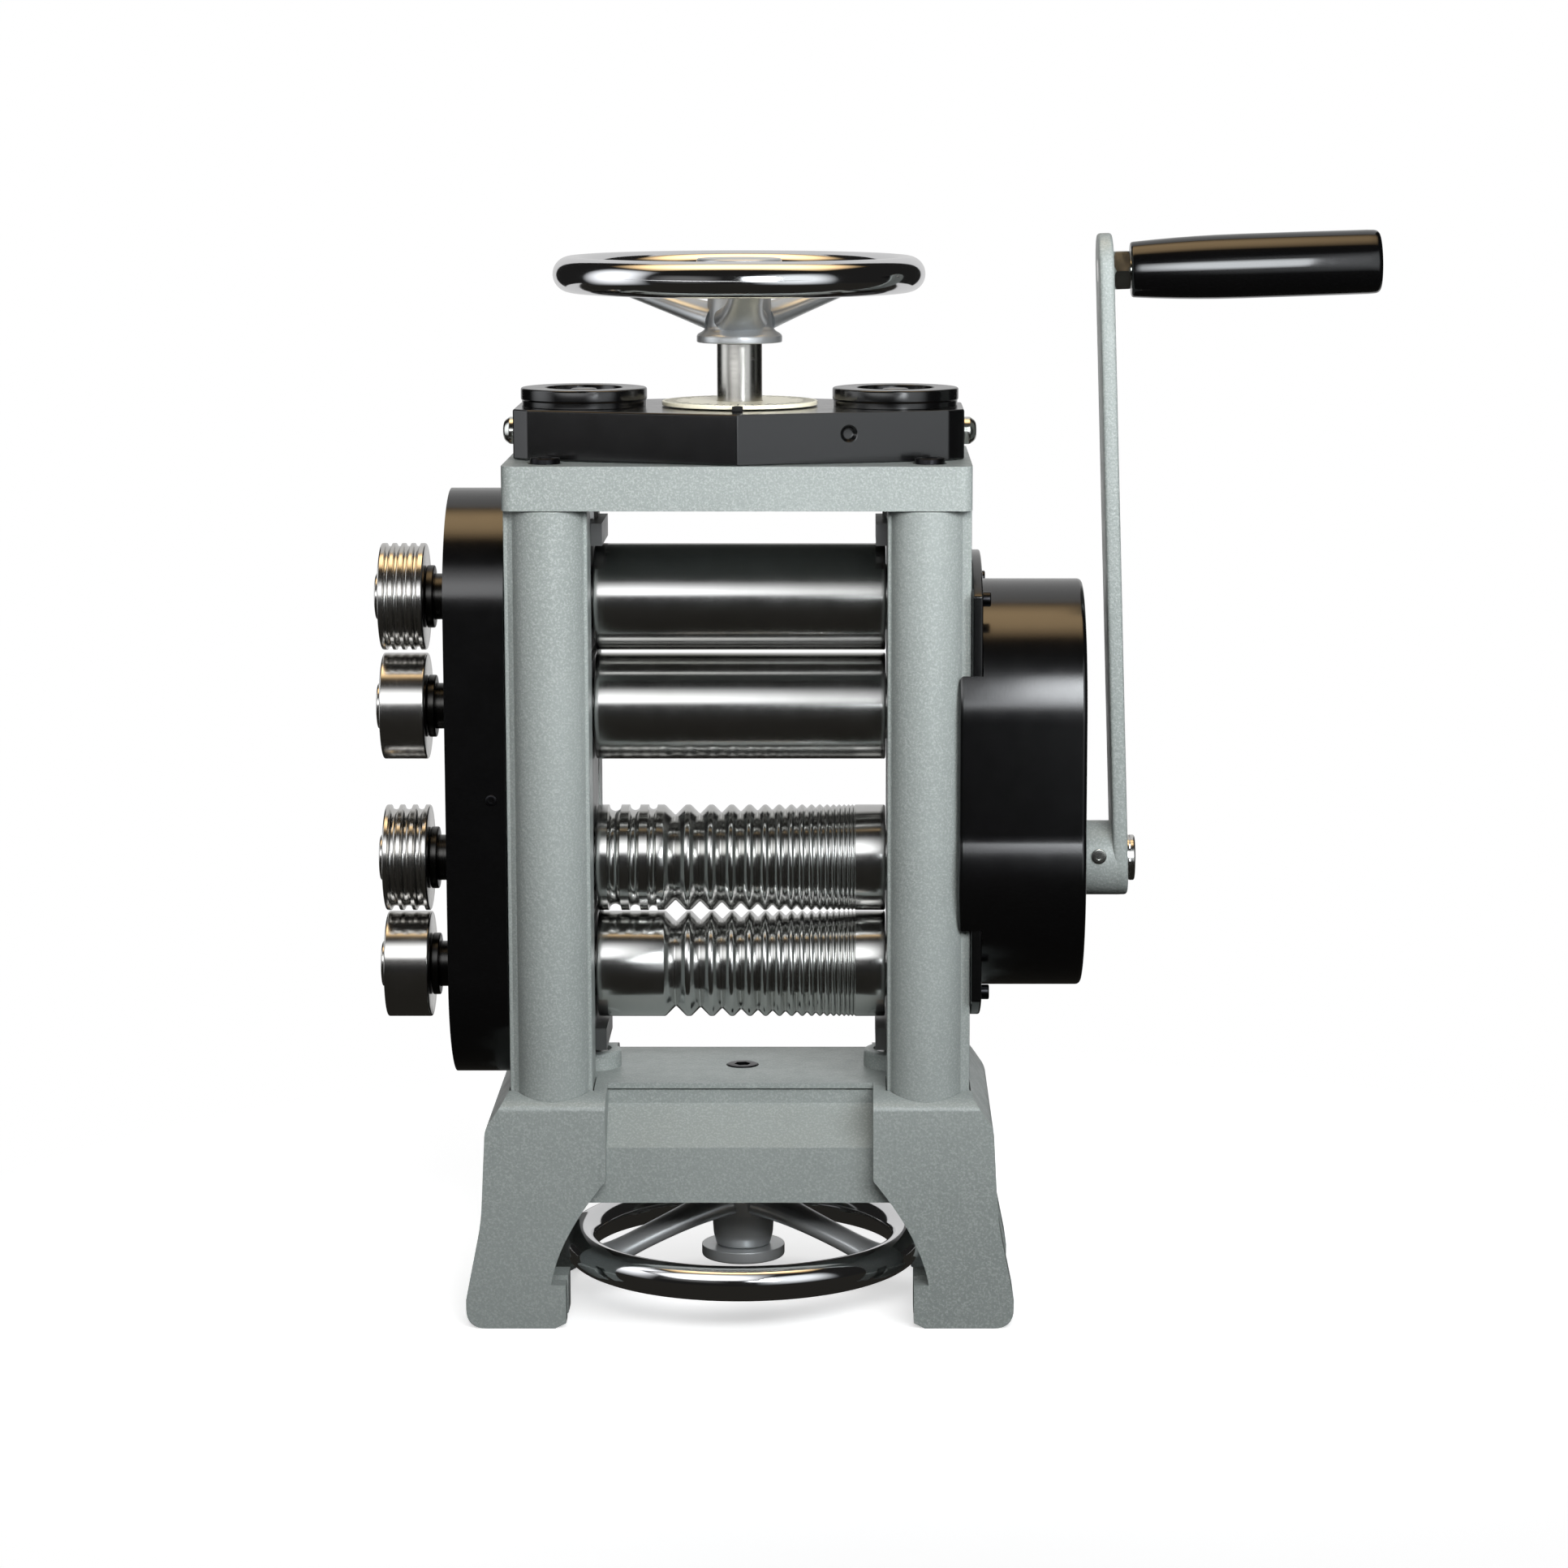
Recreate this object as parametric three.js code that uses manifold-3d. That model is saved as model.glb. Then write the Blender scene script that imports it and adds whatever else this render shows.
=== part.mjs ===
// A jeweller's double rolling mill: flat rolls above grooved wire rolls in an open cast frame.
// Millimetres, +Z up from the bench, +X towards the crank, +Y away from the user.
// Heights stack up from the bench, and the frame's middle is x = 0 until the last lines.
import * as THREE from "three";
import { mergeVertices } from "three/addons/utils/BufferGeometryUtils.js";
import Module from "manifold-3d";

const wasm = await Module();
wasm.setup();

// Fits between pieces
const seatGap = 0.3;
const slideGap = 0.4;
const runningGap = 0.3;
const overshoot = 1;

// Rolls
const rollDiameter = 58;
const barrelLength = 157.6;
const flatRollGap = 2;
const wireRollGap = 1.4;
const journalDiameter = 36;
const rollSides = 12;
const grooveSides = 12;
const boreSides = 8;

// Square grooves of the wire rolls, cut as right-angled vees that shrink at a steady rate
const veeCount = 8;
const firstVeeWidth = 11.5;
const veeShrink = 0.88;
const landShare = 0.25;
const firstVeePlace = -36.3;
const halfRoundWidths = [7, 6, 5];
const firstHalfRoundPlace = -69.2;
const halfRoundLand = 4.4;
const halfRoundSteps = 2;

// Frame
const deckHeight = 129;
const deckClearance = 28.1;
const plateClearance = 24;
const barrelEndGap = 0.7;
const pillarWidth = 44.5;
const pillarHalfDepth = 72;
const pillarBodyHalfDepth = 58;
const beadRadius = 20;
const beadInset = 21;
const pillarSeatDrop = 6;
const beadSteps = 4;
const chockDepth = 57.2;
const chockHalfHeight = 27;
const chockHeadThickness = 12;
const chockHeadReach = 6.5;
const plateThickness = 23.5;
const plateCorner = 6;
const columnBoltDiameter = 10;
const columnBoltHead = 18;
const columnBoltHeadDepth = 9;
const columnBoltDepth = 28;

// Base casting
const beamHalfDepth = 66;
const deckHalfDepth = 45;
const deckLip = 3;
const deckLipReach = 2;
const deckWall = 12.5;
const beamDrop = 61.5;
const footHalfDepth = 76;
const footHalfSpan = 148;
const footInner = 100;
const footLug = 6;
const footLugHeight = 24;
const footBoltDiameter = 9;
const shoulderHalfSpan = 137;
const shoulderRun = 13;
const shoulderDrop = 18.5;
const footRound = 11;
const kneeHeight = 66;
const archHalfWidth = 38;
const archHeight = 52;
const archRound = 16;
const legCrownHalfSpan = 72;
const legCrownHeight = 82;
const deckThickness = 31;
const screwBossDiameter = 34;
const screwBossHeight = 9.5;

// Adjusting screws, their gear trains and the two handwheels
const trainModule = 14 / 3;
const wheelGearTeeth = 24;
const screwGearTeeth = 12;
const trainBacklash = 1.9;
const pocketRoom = 2;
const screwDiameter = 22;
const screwNoseDiameter = 14;
const screwNoseLength = 5;
const trainGearThickness = 12;
const screwGearThickness = 8;
const trainFloorGap = 3.5;
const spindleDiameter = 24.4;
const spindleSeatDiameter = 18;
const spindlePivotDiameter = 12;
const spindleHubDiameter = 16;
const sleeveLength = 31;
const headHeight = 26.7;
const headWall = 3.5;
const headTopWall = 3.5;
const headHalfLength = 120.5;
const headHalfDepth = 70;
const headEndHalfDepth = 35;
const headEndCut = 8;
const capDiameter = 68;
const capThickness = 9.7;
const capRecessDiameter = 42;
const capRecessDepth = 3;
const lockScrewHead = 15;
const lockScrewProud = 7;
const lockScrewShank = 8;
const lockScrewInside = 0.1;
const dialDiameter = 84;
const dialThickness = 2.2;
const panThickness = 6.7;
const wheelRimRadius = 90.5;
const wheelTubeRadius = 9.5;
const wheelDish = 36.5;
const wheelHubTop = 1.5;
const wheelHubDiameter = 36;
const wheelFlangeDiameter = 46;
const wheelFlangeThickness = 4;
const spokeCount = 3;
const spokeHalfWidth = 10;
const spokeHalfThickness = 5.5;
const topSpokeAngle = -85;
const bottomSpokeAngle = -90;
const wheelCapThickness = 6.5;
const wheelCapRoof = 3;

// Lifting springs between the bearing blocks
const springDiameter = 11;
const springBore = 7;
const springPocketDepth = 6;

// Left side: roll gears, their cover and the extension rolls
const rollGearTeeth = 14;
const rollGearOuter = 32.8;
const rollGearRoot = 25;
const rollGearTooth = 5;
const rollGearWidth = 18;
const rollGearInset = 7;
const rollGearSeat = 28;
const coverRadius = 60.5;
const coverWall = 3;
const coverDepth = 32.2;
const coverPlateThickness = 3;
const coverSteps = 7;
const adjustHoleRoom = 5;
const stubDiameter = 25;
const stubLength = 14;
const sideRollSeat = 20;
const sideRollWidth = 24.2;
const sideRollBoss = 3.3;
const sideRollRim = 0.8;

// Right side: reduction gears, gearbox and crank
const gearModule = 4;
const couplingTeeth = 21;
const pinionTeeth = 12;
const couplingGearWidth = 14;
const bullGearWidth = 14;
const gearSeat = 30;
const gearSpacing = 3.5;
const toothBacklash = 1.3;
const gearboxPlateThickness = 5.7;
const gearboxPlateRadius = 127;
const gearboxPlateHalfDepth = 64.5;
const gearboxRadius = 69.5;
const pinionLobeRadius = 72;
const pinionLobeLift = 2.5;
const gearboxWall = 4;
const gearboxDepth = 55.2;
const gearboxRound = 4;
const skirtReach = 13.3;
const gearboxSteps = 16;
const inputShaftDiameter = 25;
const pilotDiameter = 16;
const pilotLength = 11;
const bushWall = 4;
const crankHubDiameter = 40.8;
const crankHubLength = 16;
const crankHubGap = 1.5;
const crankThickness = 8;
const crankLength = 320;
const crankEndRadius = 20;
const crankTilt = 1.9;
const shaftEndProud = 4.5;
const handleHexWidth = 20;
const handleHexLength = 9;
const handlePinDiameter = 12;
const gripLength = 134;
const gripRootDiameter = 29.5;
const gripDiameter = 34.5;
const gripEndWall = 6;

// Heights and places that follow from the sizes above
const rollRadius = rollDiameter / 2;
const journalRadius = journalDiameter / 2;
const barrelHalf = barrelLength / 2;
const gearCentres = gearModule * couplingTeeth;
const bullTeeth = 2 * couplingTeeth - pinionTeeth;
const rollDHeight = deckHeight + deckClearance + rollRadius;
const rollCHeight = rollDHeight + rollDiameter + wireRollGap;
const rollBHeight = rollCHeight + gearCentres;
const rollAHeight = rollBHeight + rollDiameter + flatRollGap;
const gearboxHeight = (rollBHeight + rollCHeight) / 2;
const plateUnderside = rollAHeight + rollRadius + plateClearance;
const plateTop = plateUnderside + plateThickness;
const pillarInner = barrelHalf + barrelEndGap;
const pillarOuter = pillarInner + pillarWidth;
const beadCentre = pillarInner + beadInset;
const columnX = pillarInner + pillarWidth / 2;
const columnY = (pillarBodyHalfDepth + chockDepth / 2) / 2 + 8;
const windowHalf = chockDepth / 2 + slideGap;
const chockInner = pillarInner + slideGap;
const chockOuter = pillarOuter - slideGap;
const screwX = (trainModule * (wheelGearTeeth + screwGearTeeth)) / 2;
const sideFace = pillarOuter + seatGap;

// Finishes
const paint = new THREE.MeshStandardMaterial({ color: 0x96a09e, roughness: 0.5, metalness: 0.1 });
const black = new THREE.MeshStandardMaterial({ color: 0x141416, roughness: 0.35, metalness: 0.1 });
const chrome = new THREE.MeshStandardMaterial({ color: 0xd8dadc, roughness: 0.08, metalness: 1 });
const steel = new THREE.MeshStandardMaterial({ color: 0xa9adb0, roughness: 0.22, metalness: 1 });
const castSteel = new THREE.MeshStandardMaterial({ color: 0x8d9294, roughness: 0.45, metalness: 0.9 });
const bronze = new THREE.MeshStandardMaterial({ color: 0xa8793a, roughness: 0.4, metalness: 0.9 });
const cream = new THREE.MeshStandardMaterial({ color: 0xe6e1c4, roughness: 0.5, metalness: 0 });
const phenolic = new THREE.MeshStandardMaterial({ color: 0x0c0c0e, roughness: 0.12, metalness: 0 });

// A three.js geometry as a closed solid, turned outwards if its profile ran the other way
function solidOf(geometry) {
  const bare = geometry.clone();
  bare.deleteAttribute("normal");
  bare.deleteAttribute("uv");
  const merged = mergeVertices(bare, 1e-4);
  const corners = merged.index.array;
  const triangles = [];
  for (let i = 0; i < corners.length; i += 3) {
    const [a, b, c] = [corners[i], corners[i + 1], corners[i + 2]];
    if (a !== b && b !== c && c !== a) triangles.push([a, b, c]);
  }
  const vertProperties = merged.attributes.position.array;
  const build = (list) =>
    new wasm.Manifold(new wasm.Mesh({ numProp: 3, vertProperties, triVerts: new Uint32Array(list.flat()) }));
  const made = build(triangles);
  return made.volume() < 0 ? build(triangles.map(([a, b, c]) => [a, c, b])) : made;
}

function geometryOf(solid) {
  const mesh = solid.getMesh();
  const positions = new Float32Array(mesh.numVert * 3);
  for (let i = 0; i < mesh.numVert; i++) {
    positions.set(mesh.vertProperties.subarray(i * mesh.numProp, i * mesh.numProp + 3), i * 3);
  }
  const geometry = new THREE.BufferGeometry();
  geometry.setAttribute("position", new THREE.BufferAttribute(positions, 3));
  geometry.setIndex(new THREE.BufferAttribute(mesh.triVerts, 1));
  return geometry;
}

function join(...geometries) {
  return geometryOf(geometries.map(solidOf).reduce((all, next) => all.add(next)));
}

function cut(base, ...tools) {
  return geometryOf(tools.map(solidOf).reduce((left, tool) => left.subtract(tool), solidOf(base)));
}

function common(one, other) {
  return geometryOf(solidOf(one).intersect(solidOf(other)));
}

// Revolves [place along the axis, radius] pairs about Z, or about X
function turnedZ(profile, sides = rollSides) {
  const points = profile.map(([along, radius]) => new THREE.Vector2(radius, along));
  return new THREE.LatheGeometry(points, sides).rotateX(Math.PI / 2);
}

function turnedX(profile, sides = rollSides) {
  return turnedZ(profile, sides).rotateY(Math.PI / 2);
}

function ringProfile(from, to, inner, outer) {
  return [
    [from, inner],
    [from, outer],
    [to, outer],
    [to, inner],
    [from, inner],
  ];
}

// A plain round bar between two places on its axis
function barZ(x, y, from, to, diameter, sides = boreSides) {
  const radius = diameter / 2;
  const profile = [[from, 0], [from, radius], [to, radius], [to, 0]];
  return turnedZ(profile, sides).translate(x, y, 0);
}

function barX(y, z, from, to, diameter, sides = boreSides) {
  const radius = diameter / 2;
  const profile = [[from, 0], [from, radius], [to, radius], [to, 0]];
  return turnedX(profile, sides).translate(0, y, z);
}

// Corner radius of a many-sided hole whose flats still clear a round bar of the radius given
function clearing(radius, sides = boreSides) {
  return radius / Math.cos(Math.PI / sides);
}

function holeZ(x, y, from, to, diameter, sides = boreSides) {
  return barZ(x, y, from, to, 2 * clearing(diameter / 2, sides), sides);
}

function holeX(y, z, from, to, diameter, sides = boreSides) {
  return barX(y, z, from, to, 2 * clearing(diameter / 2, sides), sides);
}

function block(x0, x1, y0, y1, z0, z1) {
  const box = new THREE.BoxGeometry(x1 - x0, y1 - y0, z1 - z0);
  return box.translate((x0 + x1) / 2, (y0 + y1) / 2, (z0 + z1) / 2);
}

// Outlines pushed along an axis: [x, y] along Z, [x, z] along Y, [y, z] along X
function shapeOf(points) {
  return new THREE.Shape(points.map(([a, b]) => new THREE.Vector2(a, b)));
}

function pushedZ(shape, from, to) {
  const flat = new THREE.ExtrudeGeometry(shape, { depth: to - from, bevelEnabled: false, curveSegments: 3 });
  return flat.translate(0, 0, from);
}

function pushedY(shape, from, to) {
  return pushedZ(shape, -to, -from).rotateX(Math.PI / 2);
}

function pushedX(shape, from, to) {
  return pushedZ(shape, from, to).rotateZ(Math.PI / 2).rotateY(Math.PI / 2);
}

function arc(centreA, centreB, radius, fromDegrees, toDegrees, steps) {
  const points = [];
  for (let i = 0; i <= steps; i++) {
    const angle = THREE.MathUtils.degToRad(fromDegrees + ((toDegrees - fromDegrees) * i) / steps);
    points.push([centreA + radius * Math.cos(angle), centreB + radius * Math.sin(angle)]);
  }
  return points;
}

// A spur gear's outline in its own plane, with the middle of one tooth at the angle given
function gearOutline({ teeth, outer, pitch, root, tooth }, toothAngle) {
  const flankSlope = Math.tan(THREE.MathUtils.degToRad(20));
  const halfAngle = (radius) => (tooth / 2 + (pitch - radius) * flankSlope) / radius;
  const points = [];
  for (let i = 0; i < teeth; i++) {
    const middle = toothAngle + (i * 2 * Math.PI) / teeth;
    for (const [radius, side] of [[root, -1], [outer, -1], [outer, 1], [root, 1]]) {
      const angle = middle + side * halfAngle(radius);
      points.push([radius * Math.cos(angle), radius * Math.sin(angle)]);
    }
  }
  return shapeOf(points);
}

function standardGear(module, teeth, backlash = toothBacklash) {
  const pitch = (module * teeth) / 2;
  const tooth = (Math.PI * module) / 2 - backlash;
  return { teeth, outer: pitch + module, pitch, root: pitch - 1.25 * module, tooth };
}

function addBore(shape, diameter) {
  const corners = arc(0, 0, clearing(diameter / 2), 360, 0, boreSides).slice(1);
  shape.holes.push(new THREE.Path(corners.map(([a, b]) => new THREE.Vector2(a, b))));
  return shape;
}

const mill = new THREE.Group();

function add(name, finish, geometry, x = 0, y = 0, z = 0, parent = mill) {
  geometry.computeVertexNormals();
  const mesh = new THREE.Mesh(geometry, finish);
  mesh.name = name;
  mesh.position.set(x, y, z);
  parent.add(mesh);
  return mesh;
}

const sides = [
  ["left", -1],
  ["right", 1],
];
const ends = [
  ["front", -1],
  ["rear", 1],
];

// Pillars: a square back that guides the bearing blocks, and a half-round bead outside
function pillarOutline(side, end, grow = 0) {
  const inner = pillarInner - grow;
  const outer = pillarOuter + grow;
  const window = windowHalf - grow;
  const body = pillarBodyHalfDepth + grow;
  const radius = beadRadius + grow;
  const beadY = pillarHalfDepth - beadRadius;
  const start = THREE.MathUtils.radToDeg(Math.asin((body - beadY) / radius));
  const bead = arc(beadCentre, beadY, radius, start, 180 - start, beadSteps);
  const points = [[inner, window], [outer, window], [outer, body], ...bead, [inner, body]];
  return shapeOf(points.map(([x, y]) => [side * x, end * y]));
}

const pillarFoot = deckHeight - pillarSeatDrop;
for (const [sideName, side] of sides) {
  for (const [endName, end] of ends) {
    const column = pushedZ(pillarOutline(side, end), pillarFoot + seatGap, plateUnderside - seatGap);
    const boltHole = holeZ(
      side * columnX,
      end * columnY,
      plateUnderside - columnBoltDepth,
      plateUnderside + overshoot,
      columnBoltDiameter,
      8,
    );
    add(`pillar_${endName}_${sideName}`, paint, cut(column, boltHole));
  }
}

// Base casting: a deep beam between two pairs of splayed legs
function legOutline(side) {
  const leg = new THREE.Shape();
  const at = (x) => side * x;
  const shoulderTop = deckHeight;
  leg.moveTo(at(legCrownHalfSpan), shoulderTop);
  leg.lineTo(at(shoulderHalfSpan - shoulderRun), shoulderTop);
  leg.lineTo(at(shoulderHalfSpan - 3), shoulderTop - shoulderDrop + 4);
  leg.quadraticCurveTo(
    at(shoulderHalfSpan),
    shoulderTop - shoulderDrop,
    at(shoulderHalfSpan),
    shoulderTop - shoulderDrop - 6,
  );
  leg.lineTo(at(shoulderHalfSpan + 2), kneeHeight);
  leg.quadraticCurveTo(at(shoulderHalfSpan + 3), kneeHeight - 8, at(shoulderHalfSpan + 5), kneeHeight - 15);
  leg.lineTo(at(footHalfSpan), 16);
  leg.lineTo(at(footHalfSpan), footRound);
  leg.quadraticCurveTo(at(footHalfSpan), 0, at(footHalfSpan - footRound), 0);
  leg.lineTo(at(footInner), 0);
  leg.lineTo(at(footInner - footLug), 3);
  leg.lineTo(at(footInner - footLug), footLugHeight);
  leg.lineTo(at(footInner + 2), footLugHeight);
  leg.quadraticCurveTo(at(footInner - 2), legCrownHeight - 32, at(legCrownHalfSpan), legCrownHeight);
  return leg;
}

function gearPocketOutline(shrink) {
  const disc = (trainModule * wheelGearTeeth) / 2 + trainModule + pocketRoom - shrink;
  const endRadius = (trainModule * screwGearTeeth) / 2 + trainModule + pocketRoom - shrink;
  const waist = THREE.MathUtils.radToDeg(Math.asin(endRadius / disc));
  return shapeOf([
    ...arc(0, 0, disc, waist, 180 - waist, 6),
    ...arc(-screwX, 0, endRadius, 90, 270, 5),
    ...arc(0, 0, disc, 180 + waist, 360 - waist, 6),
    ...arc(screwX, 0, endRadius, -90, 90, 5),
  ]);
}

const beamUnderside = deckHeight - beamDrop;
const deckUnderside = deckHeight - deckThickness;
const recessHalfDepth = deckHalfDepth - deckLipReach;

function makeBaseCasting() {
  const shoulderLine = shapeOf([
    [-footHalfDepth, -overshoot],
    [-footHalfDepth, deckHeight - 9],
    [-footHalfDepth + 1.5, deckHeight - 5],
    [-pillarBodyHalfDepth - 3, deckHeight - 1.5],
    [-deckHalfDepth, deckHeight],
    [deckHalfDepth, deckHeight],
    [pillarBodyHalfDepth + 3, deckHeight - 1.5],
    [footHalfDepth - 1.5, deckHeight - 5],
    [footHalfDepth, deckHeight - 9],
    [footHalfDepth, -overshoot],
  ]);
  const arch = shapeOf([
    [-archHalfWidth, -overshoot],
    ...arc(-archHalfWidth + archRound, archHeight - archRound, archRound, 180, 90, 3),
    ...arc(archHalfWidth - archRound, archHeight - archRound, archRound, 90, 0, 3),
    [archHalfWidth, -overshoot],
  ]);
  const beamSection = shapeOf([
    [-beamHalfDepth, beamUnderside],
    [beamHalfDepth, beamUnderside],
    [beamHalfDepth, deckUnderside],
    [recessHalfDepth, deckHeight - deckWall],
    [recessHalfDepth, deckHeight - deckLip],
    [deckHalfDepth, deckHeight - deckLip],
    [deckHalfDepth, deckHeight],
    [-deckHalfDepth, deckHeight],
    [-deckHalfDepth, deckHeight - deckLip],
    [-recessHalfDepth, deckHeight - deckLip],
    [-recessHalfDepth, deckHeight - deckWall],
    [-beamHalfDepth, deckUnderside],
  ]);
  let casting = pushedX(beamSection, -legCrownHalfSpan - 20, legCrownHalfSpan + 20);
  for (const [, side] of sides) {
    const leg = pushedY(legOutline(side), -footHalfDepth, footHalfDepth);
    const limits = pushedX(shoulderLine, -footHalfSpan - overshoot, footHalfSpan + overshoot);
    casting = join(casting, common(leg, limits));
    casting = join(casting, barZ(side * screwX, 0, deckUnderside, deckHeight + screwBossHeight, screwBossDiameter));
  }
  const cuts = [
    pushedX(arch, -footHalfSpan - overshoot, footHalfSpan + overshoot),
    pushedZ(gearPocketOutline(0), archHeight - 20, deckUnderside),
    pushedX(stadium(coverRadius + slideGap), -footHalfSpan - overshoot, -pillarOuter),
    holeZ(0, 0, deckUnderside - overshoot, deckHeight + overshoot, spindlePivotDiameter + 2 * runningGap, 12),
  ];
  for (const [, side] of sides) {
    cuts.push(holeZ(side * screwX, 0, 0, deckHeight + screwBossHeight + overshoot, screwDiameter + 2 * runningGap));
    for (const [, end] of ends) {
      const seat = pillarOutline(side, end, slideGap);
      cuts.push(pushedZ(seat, pillarFoot, deckHeight + overshoot));
      const boltX = side * (footInner + 6);
      const boltY = end * (footHalfDepth - 16);
      cuts.push(holeZ(boltX, boltY, -overshoot, footLugHeight + 6, footBoltDiameter, 8));
      const slotInner = side * (footInner - footLug - overshoot);
      cuts.push(
        block(
          Math.min(boltX, slotInner),
          Math.max(boltX, slotInner),
          boltY - footBoltDiameter / 2,
          boltY + footBoltDiameter / 2,
          -overshoot,
          footLugHeight + overshoot,
        ),
      );
    }
  }
  return cut(casting, ...cuts);
}
add("base_casting", paint, makeBaseCasting());

const panTop = beamUnderside + seatGap + panThickness;
const panHole = holeZ(0, 0, 0, deckHeight, spindleDiameter + 2 * runningGap);
const pan = pushedZ(gearPocketOutline(slideGap), beamUnderside + seatGap, panTop);
add("base_gear_pan", castSteel, cut(pan, panHole));

// Top plate, bolted down on the four pillars
function makeTopPlate() {
  const half = pillarOuter;
  const depth = pillarHalfDepth;
  const c = plateCorner;
  const outline = shapeOf([
    ...arc(half - c, depth - c, c, 0, 90, 3),
    ...arc(-half + c, depth - c, c, 90, 180, 3),
    ...arc(-half + c, -depth + c, c, 180, 270, 3),
    ...arc(half - c, -depth + c, c, 270, 360, 3),
  ]);
  const cuts = [holeZ(0, 0, 0, plateTop + overshoot, spindlePivotDiameter + 2 * runningGap, 12)];
  for (const [, side] of sides) {
    cuts.push(holeZ(side * screwX, 0, 0, plateTop + overshoot, screwDiameter + 2 * runningGap));
    for (const [, end] of ends) {
      const x = side * columnX;
      const y = end * columnY;
      cuts.push(holeZ(x, y, 0, plateTop + overshoot, columnBoltDiameter, 8));
      cuts.push(holeZ(x, y, plateTop - columnBoltHeadDepth, plateTop + overshoot, columnBoltHead, 8));
    }
  }
  return cut(pushedZ(outline, plateUnderside, plateTop), ...cuts);
}
add("top_plate", paint, makeTopPlate());

// Bearing blocks between the pillars: the outer pairs slide, the middle pair holds two rolls
const headRise = rollRadius + 1.5;

function blockOutline(side, up) {
  const inner = chockInner;
  const outer = chockOuter;
  const points = [
    [inner, -up * chockHalfHeight],
    [outer, -up * chockHalfHeight],
    [outer, up * (headRise + chockHeadThickness)],
    [inner - chockHeadReach, up * (headRise + chockHeadThickness)],
    [inner - chockHeadReach, up * headRise],
    [inner, up * headRise],
  ];
  return shapeOf(points.map(([x, z]) => [side * x, z]));
}

const boreDiameter = journalDiameter + 2 * runningGap;
const springPocket = springDiameter + 1;

function makeChock(side, up) {
  const x = side * columnX;
  const bore = holeX(0, 0, -pillarOuter - overshoot, pillarOuter + overshoot, boreDiameter);
  const mouth = -up * (chockHalfHeight + overshoot);
  const floor = -up * (chockHalfHeight - springPocketDepth);
  const pocket = holeZ(x, 0, Math.min(mouth, floor), Math.max(mouth, floor), springPocket, 8);
  return cut(pushedY(blockOutline(side, up), -chockDepth / 2, chockDepth / 2), bore, pocket);
}

function makeCentreBlock(side) {
  const bottom = rollCHeight - chockHalfHeight;
  const top = rollBHeight + chockHalfHeight;
  const x0 = side > 0 ? chockInner : -chockOuter;
  const x1 = side > 0 ? chockOuter : -chockInner;
  const x = side * columnX;
  return cut(
    block(x0, x1, -chockDepth / 2, chockDepth / 2, bottom, top),
    holeX(0, rollBHeight, x0 - overshoot, x1 + overshoot, boreDiameter),
    holeX(0, rollCHeight, x0 - overshoot, x1 + overshoot, boreDiameter),
    holeZ(x, 0, top - springPocketDepth, top + overshoot, springPocket, 8),
    holeZ(x, 0, bottom - overshoot, bottom + springPocketDepth, springPocket, 8),
  );
}

function makeSpring(from, to) {
  const low = from + seatGap;
  const high = to - seatGap;
  return turnedZ(ringProfile(low, high, springBore / 2, springDiameter / 2), 8);
}

for (const [sideName, side] of sides) {
  add(`upper_chock_${sideName}`, castSteel, makeChock(side, 1), 0, 0, rollAHeight);
  add(`centre_block_${sideName}`, castSteel, makeCentreBlock(side));
  add(`lower_chock_${sideName}`, castSteel, makeChock(side, -1), 0, 0, rollDHeight);
  const upperFoot = rollBHeight + chockHalfHeight - springPocketDepth;
  const upperTop = rollAHeight - chockHalfHeight + springPocketDepth;
  const lowerFoot = rollDHeight + chockHalfHeight - springPocketDepth;
  const lowerTop = rollCHeight - chockHalfHeight + springPocketDepth;
  add(`upper_spring_${sideName}`, steel, makeSpring(upperFoot, upperTop), side * columnX);
  add(`lower_spring_${sideName}`, steel, makeSpring(lowerFoot, lowerTop), side * columnX);
}

// Rolls: one turned piece each, from the extension-roll seat on the left to the gear seats on the right
const coverFace = -(sideFace + coverDepth);
const gearLeft = -(sideFace + rollGearInset + rollGearWidth);
const gearRight = gearLeft + rollGearWidth;
const sideRollInner = coverFace - stubLength;
const sideRollOuter = sideRollInner - sideRollWidth;
const couplingFrom = sideFace + gearboxPlateThickness + 2;
const couplingTo = couplingFrom + couplingGearWidth;
const bullFrom = couplingTo + gearSpacing;
const bullTo = bullFrom + bullGearWidth;

function leftSteps() {
  return [
    [sideRollOuter + seatGap, 0],
    [sideRollOuter + seatGap, sideRollSeat / 2],
    [sideRollInner + seatGap, sideRollSeat / 2],
    [sideRollInner + seatGap, stubDiameter / 2],
    [gearLeft - 2, stubDiameter / 2],
    [gearLeft - 2, rollGearSeat / 2],
    [gearRight + seatGap, rollGearSeat / 2],
    [gearRight + seatGap, journalRadius],
    [-barrelHalf, journalRadius],
    [-barrelHalf, rollRadius - 1],
    [-barrelHalf + 1, rollRadius],
  ];
}

function rightSteps(journalEnd, seatEnd) {
  const steps = [
    [barrelHalf - 1, rollRadius],
    [barrelHalf, rollRadius - 1],
    [barrelHalf, journalRadius],
    [journalEnd, journalRadius],
  ];
  if (seatEnd > journalEnd) steps.push([journalEnd, gearSeat / 2], [seatEnd, gearSeat / 2]);
  steps.push([Math.max(journalEnd, seatEnd), 0]);
  return steps;
}

// Right-angled vees side by side, each narrower than the last
function veeGrooves() {
  const points = [];
  let width = firstVeeWidth;
  let place = firstVeePlace;
  for (let i = 0; i < veeCount; i++) {
    points.push([place - width / 2, rollRadius], [place, rollRadius - width / 2], [place + width / 2, rollRadius]);
    const next = width * veeShrink;
    place += ((width + next) / 2) * (1 + landShare);
    width = next;
  }
  return points;
}

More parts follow.
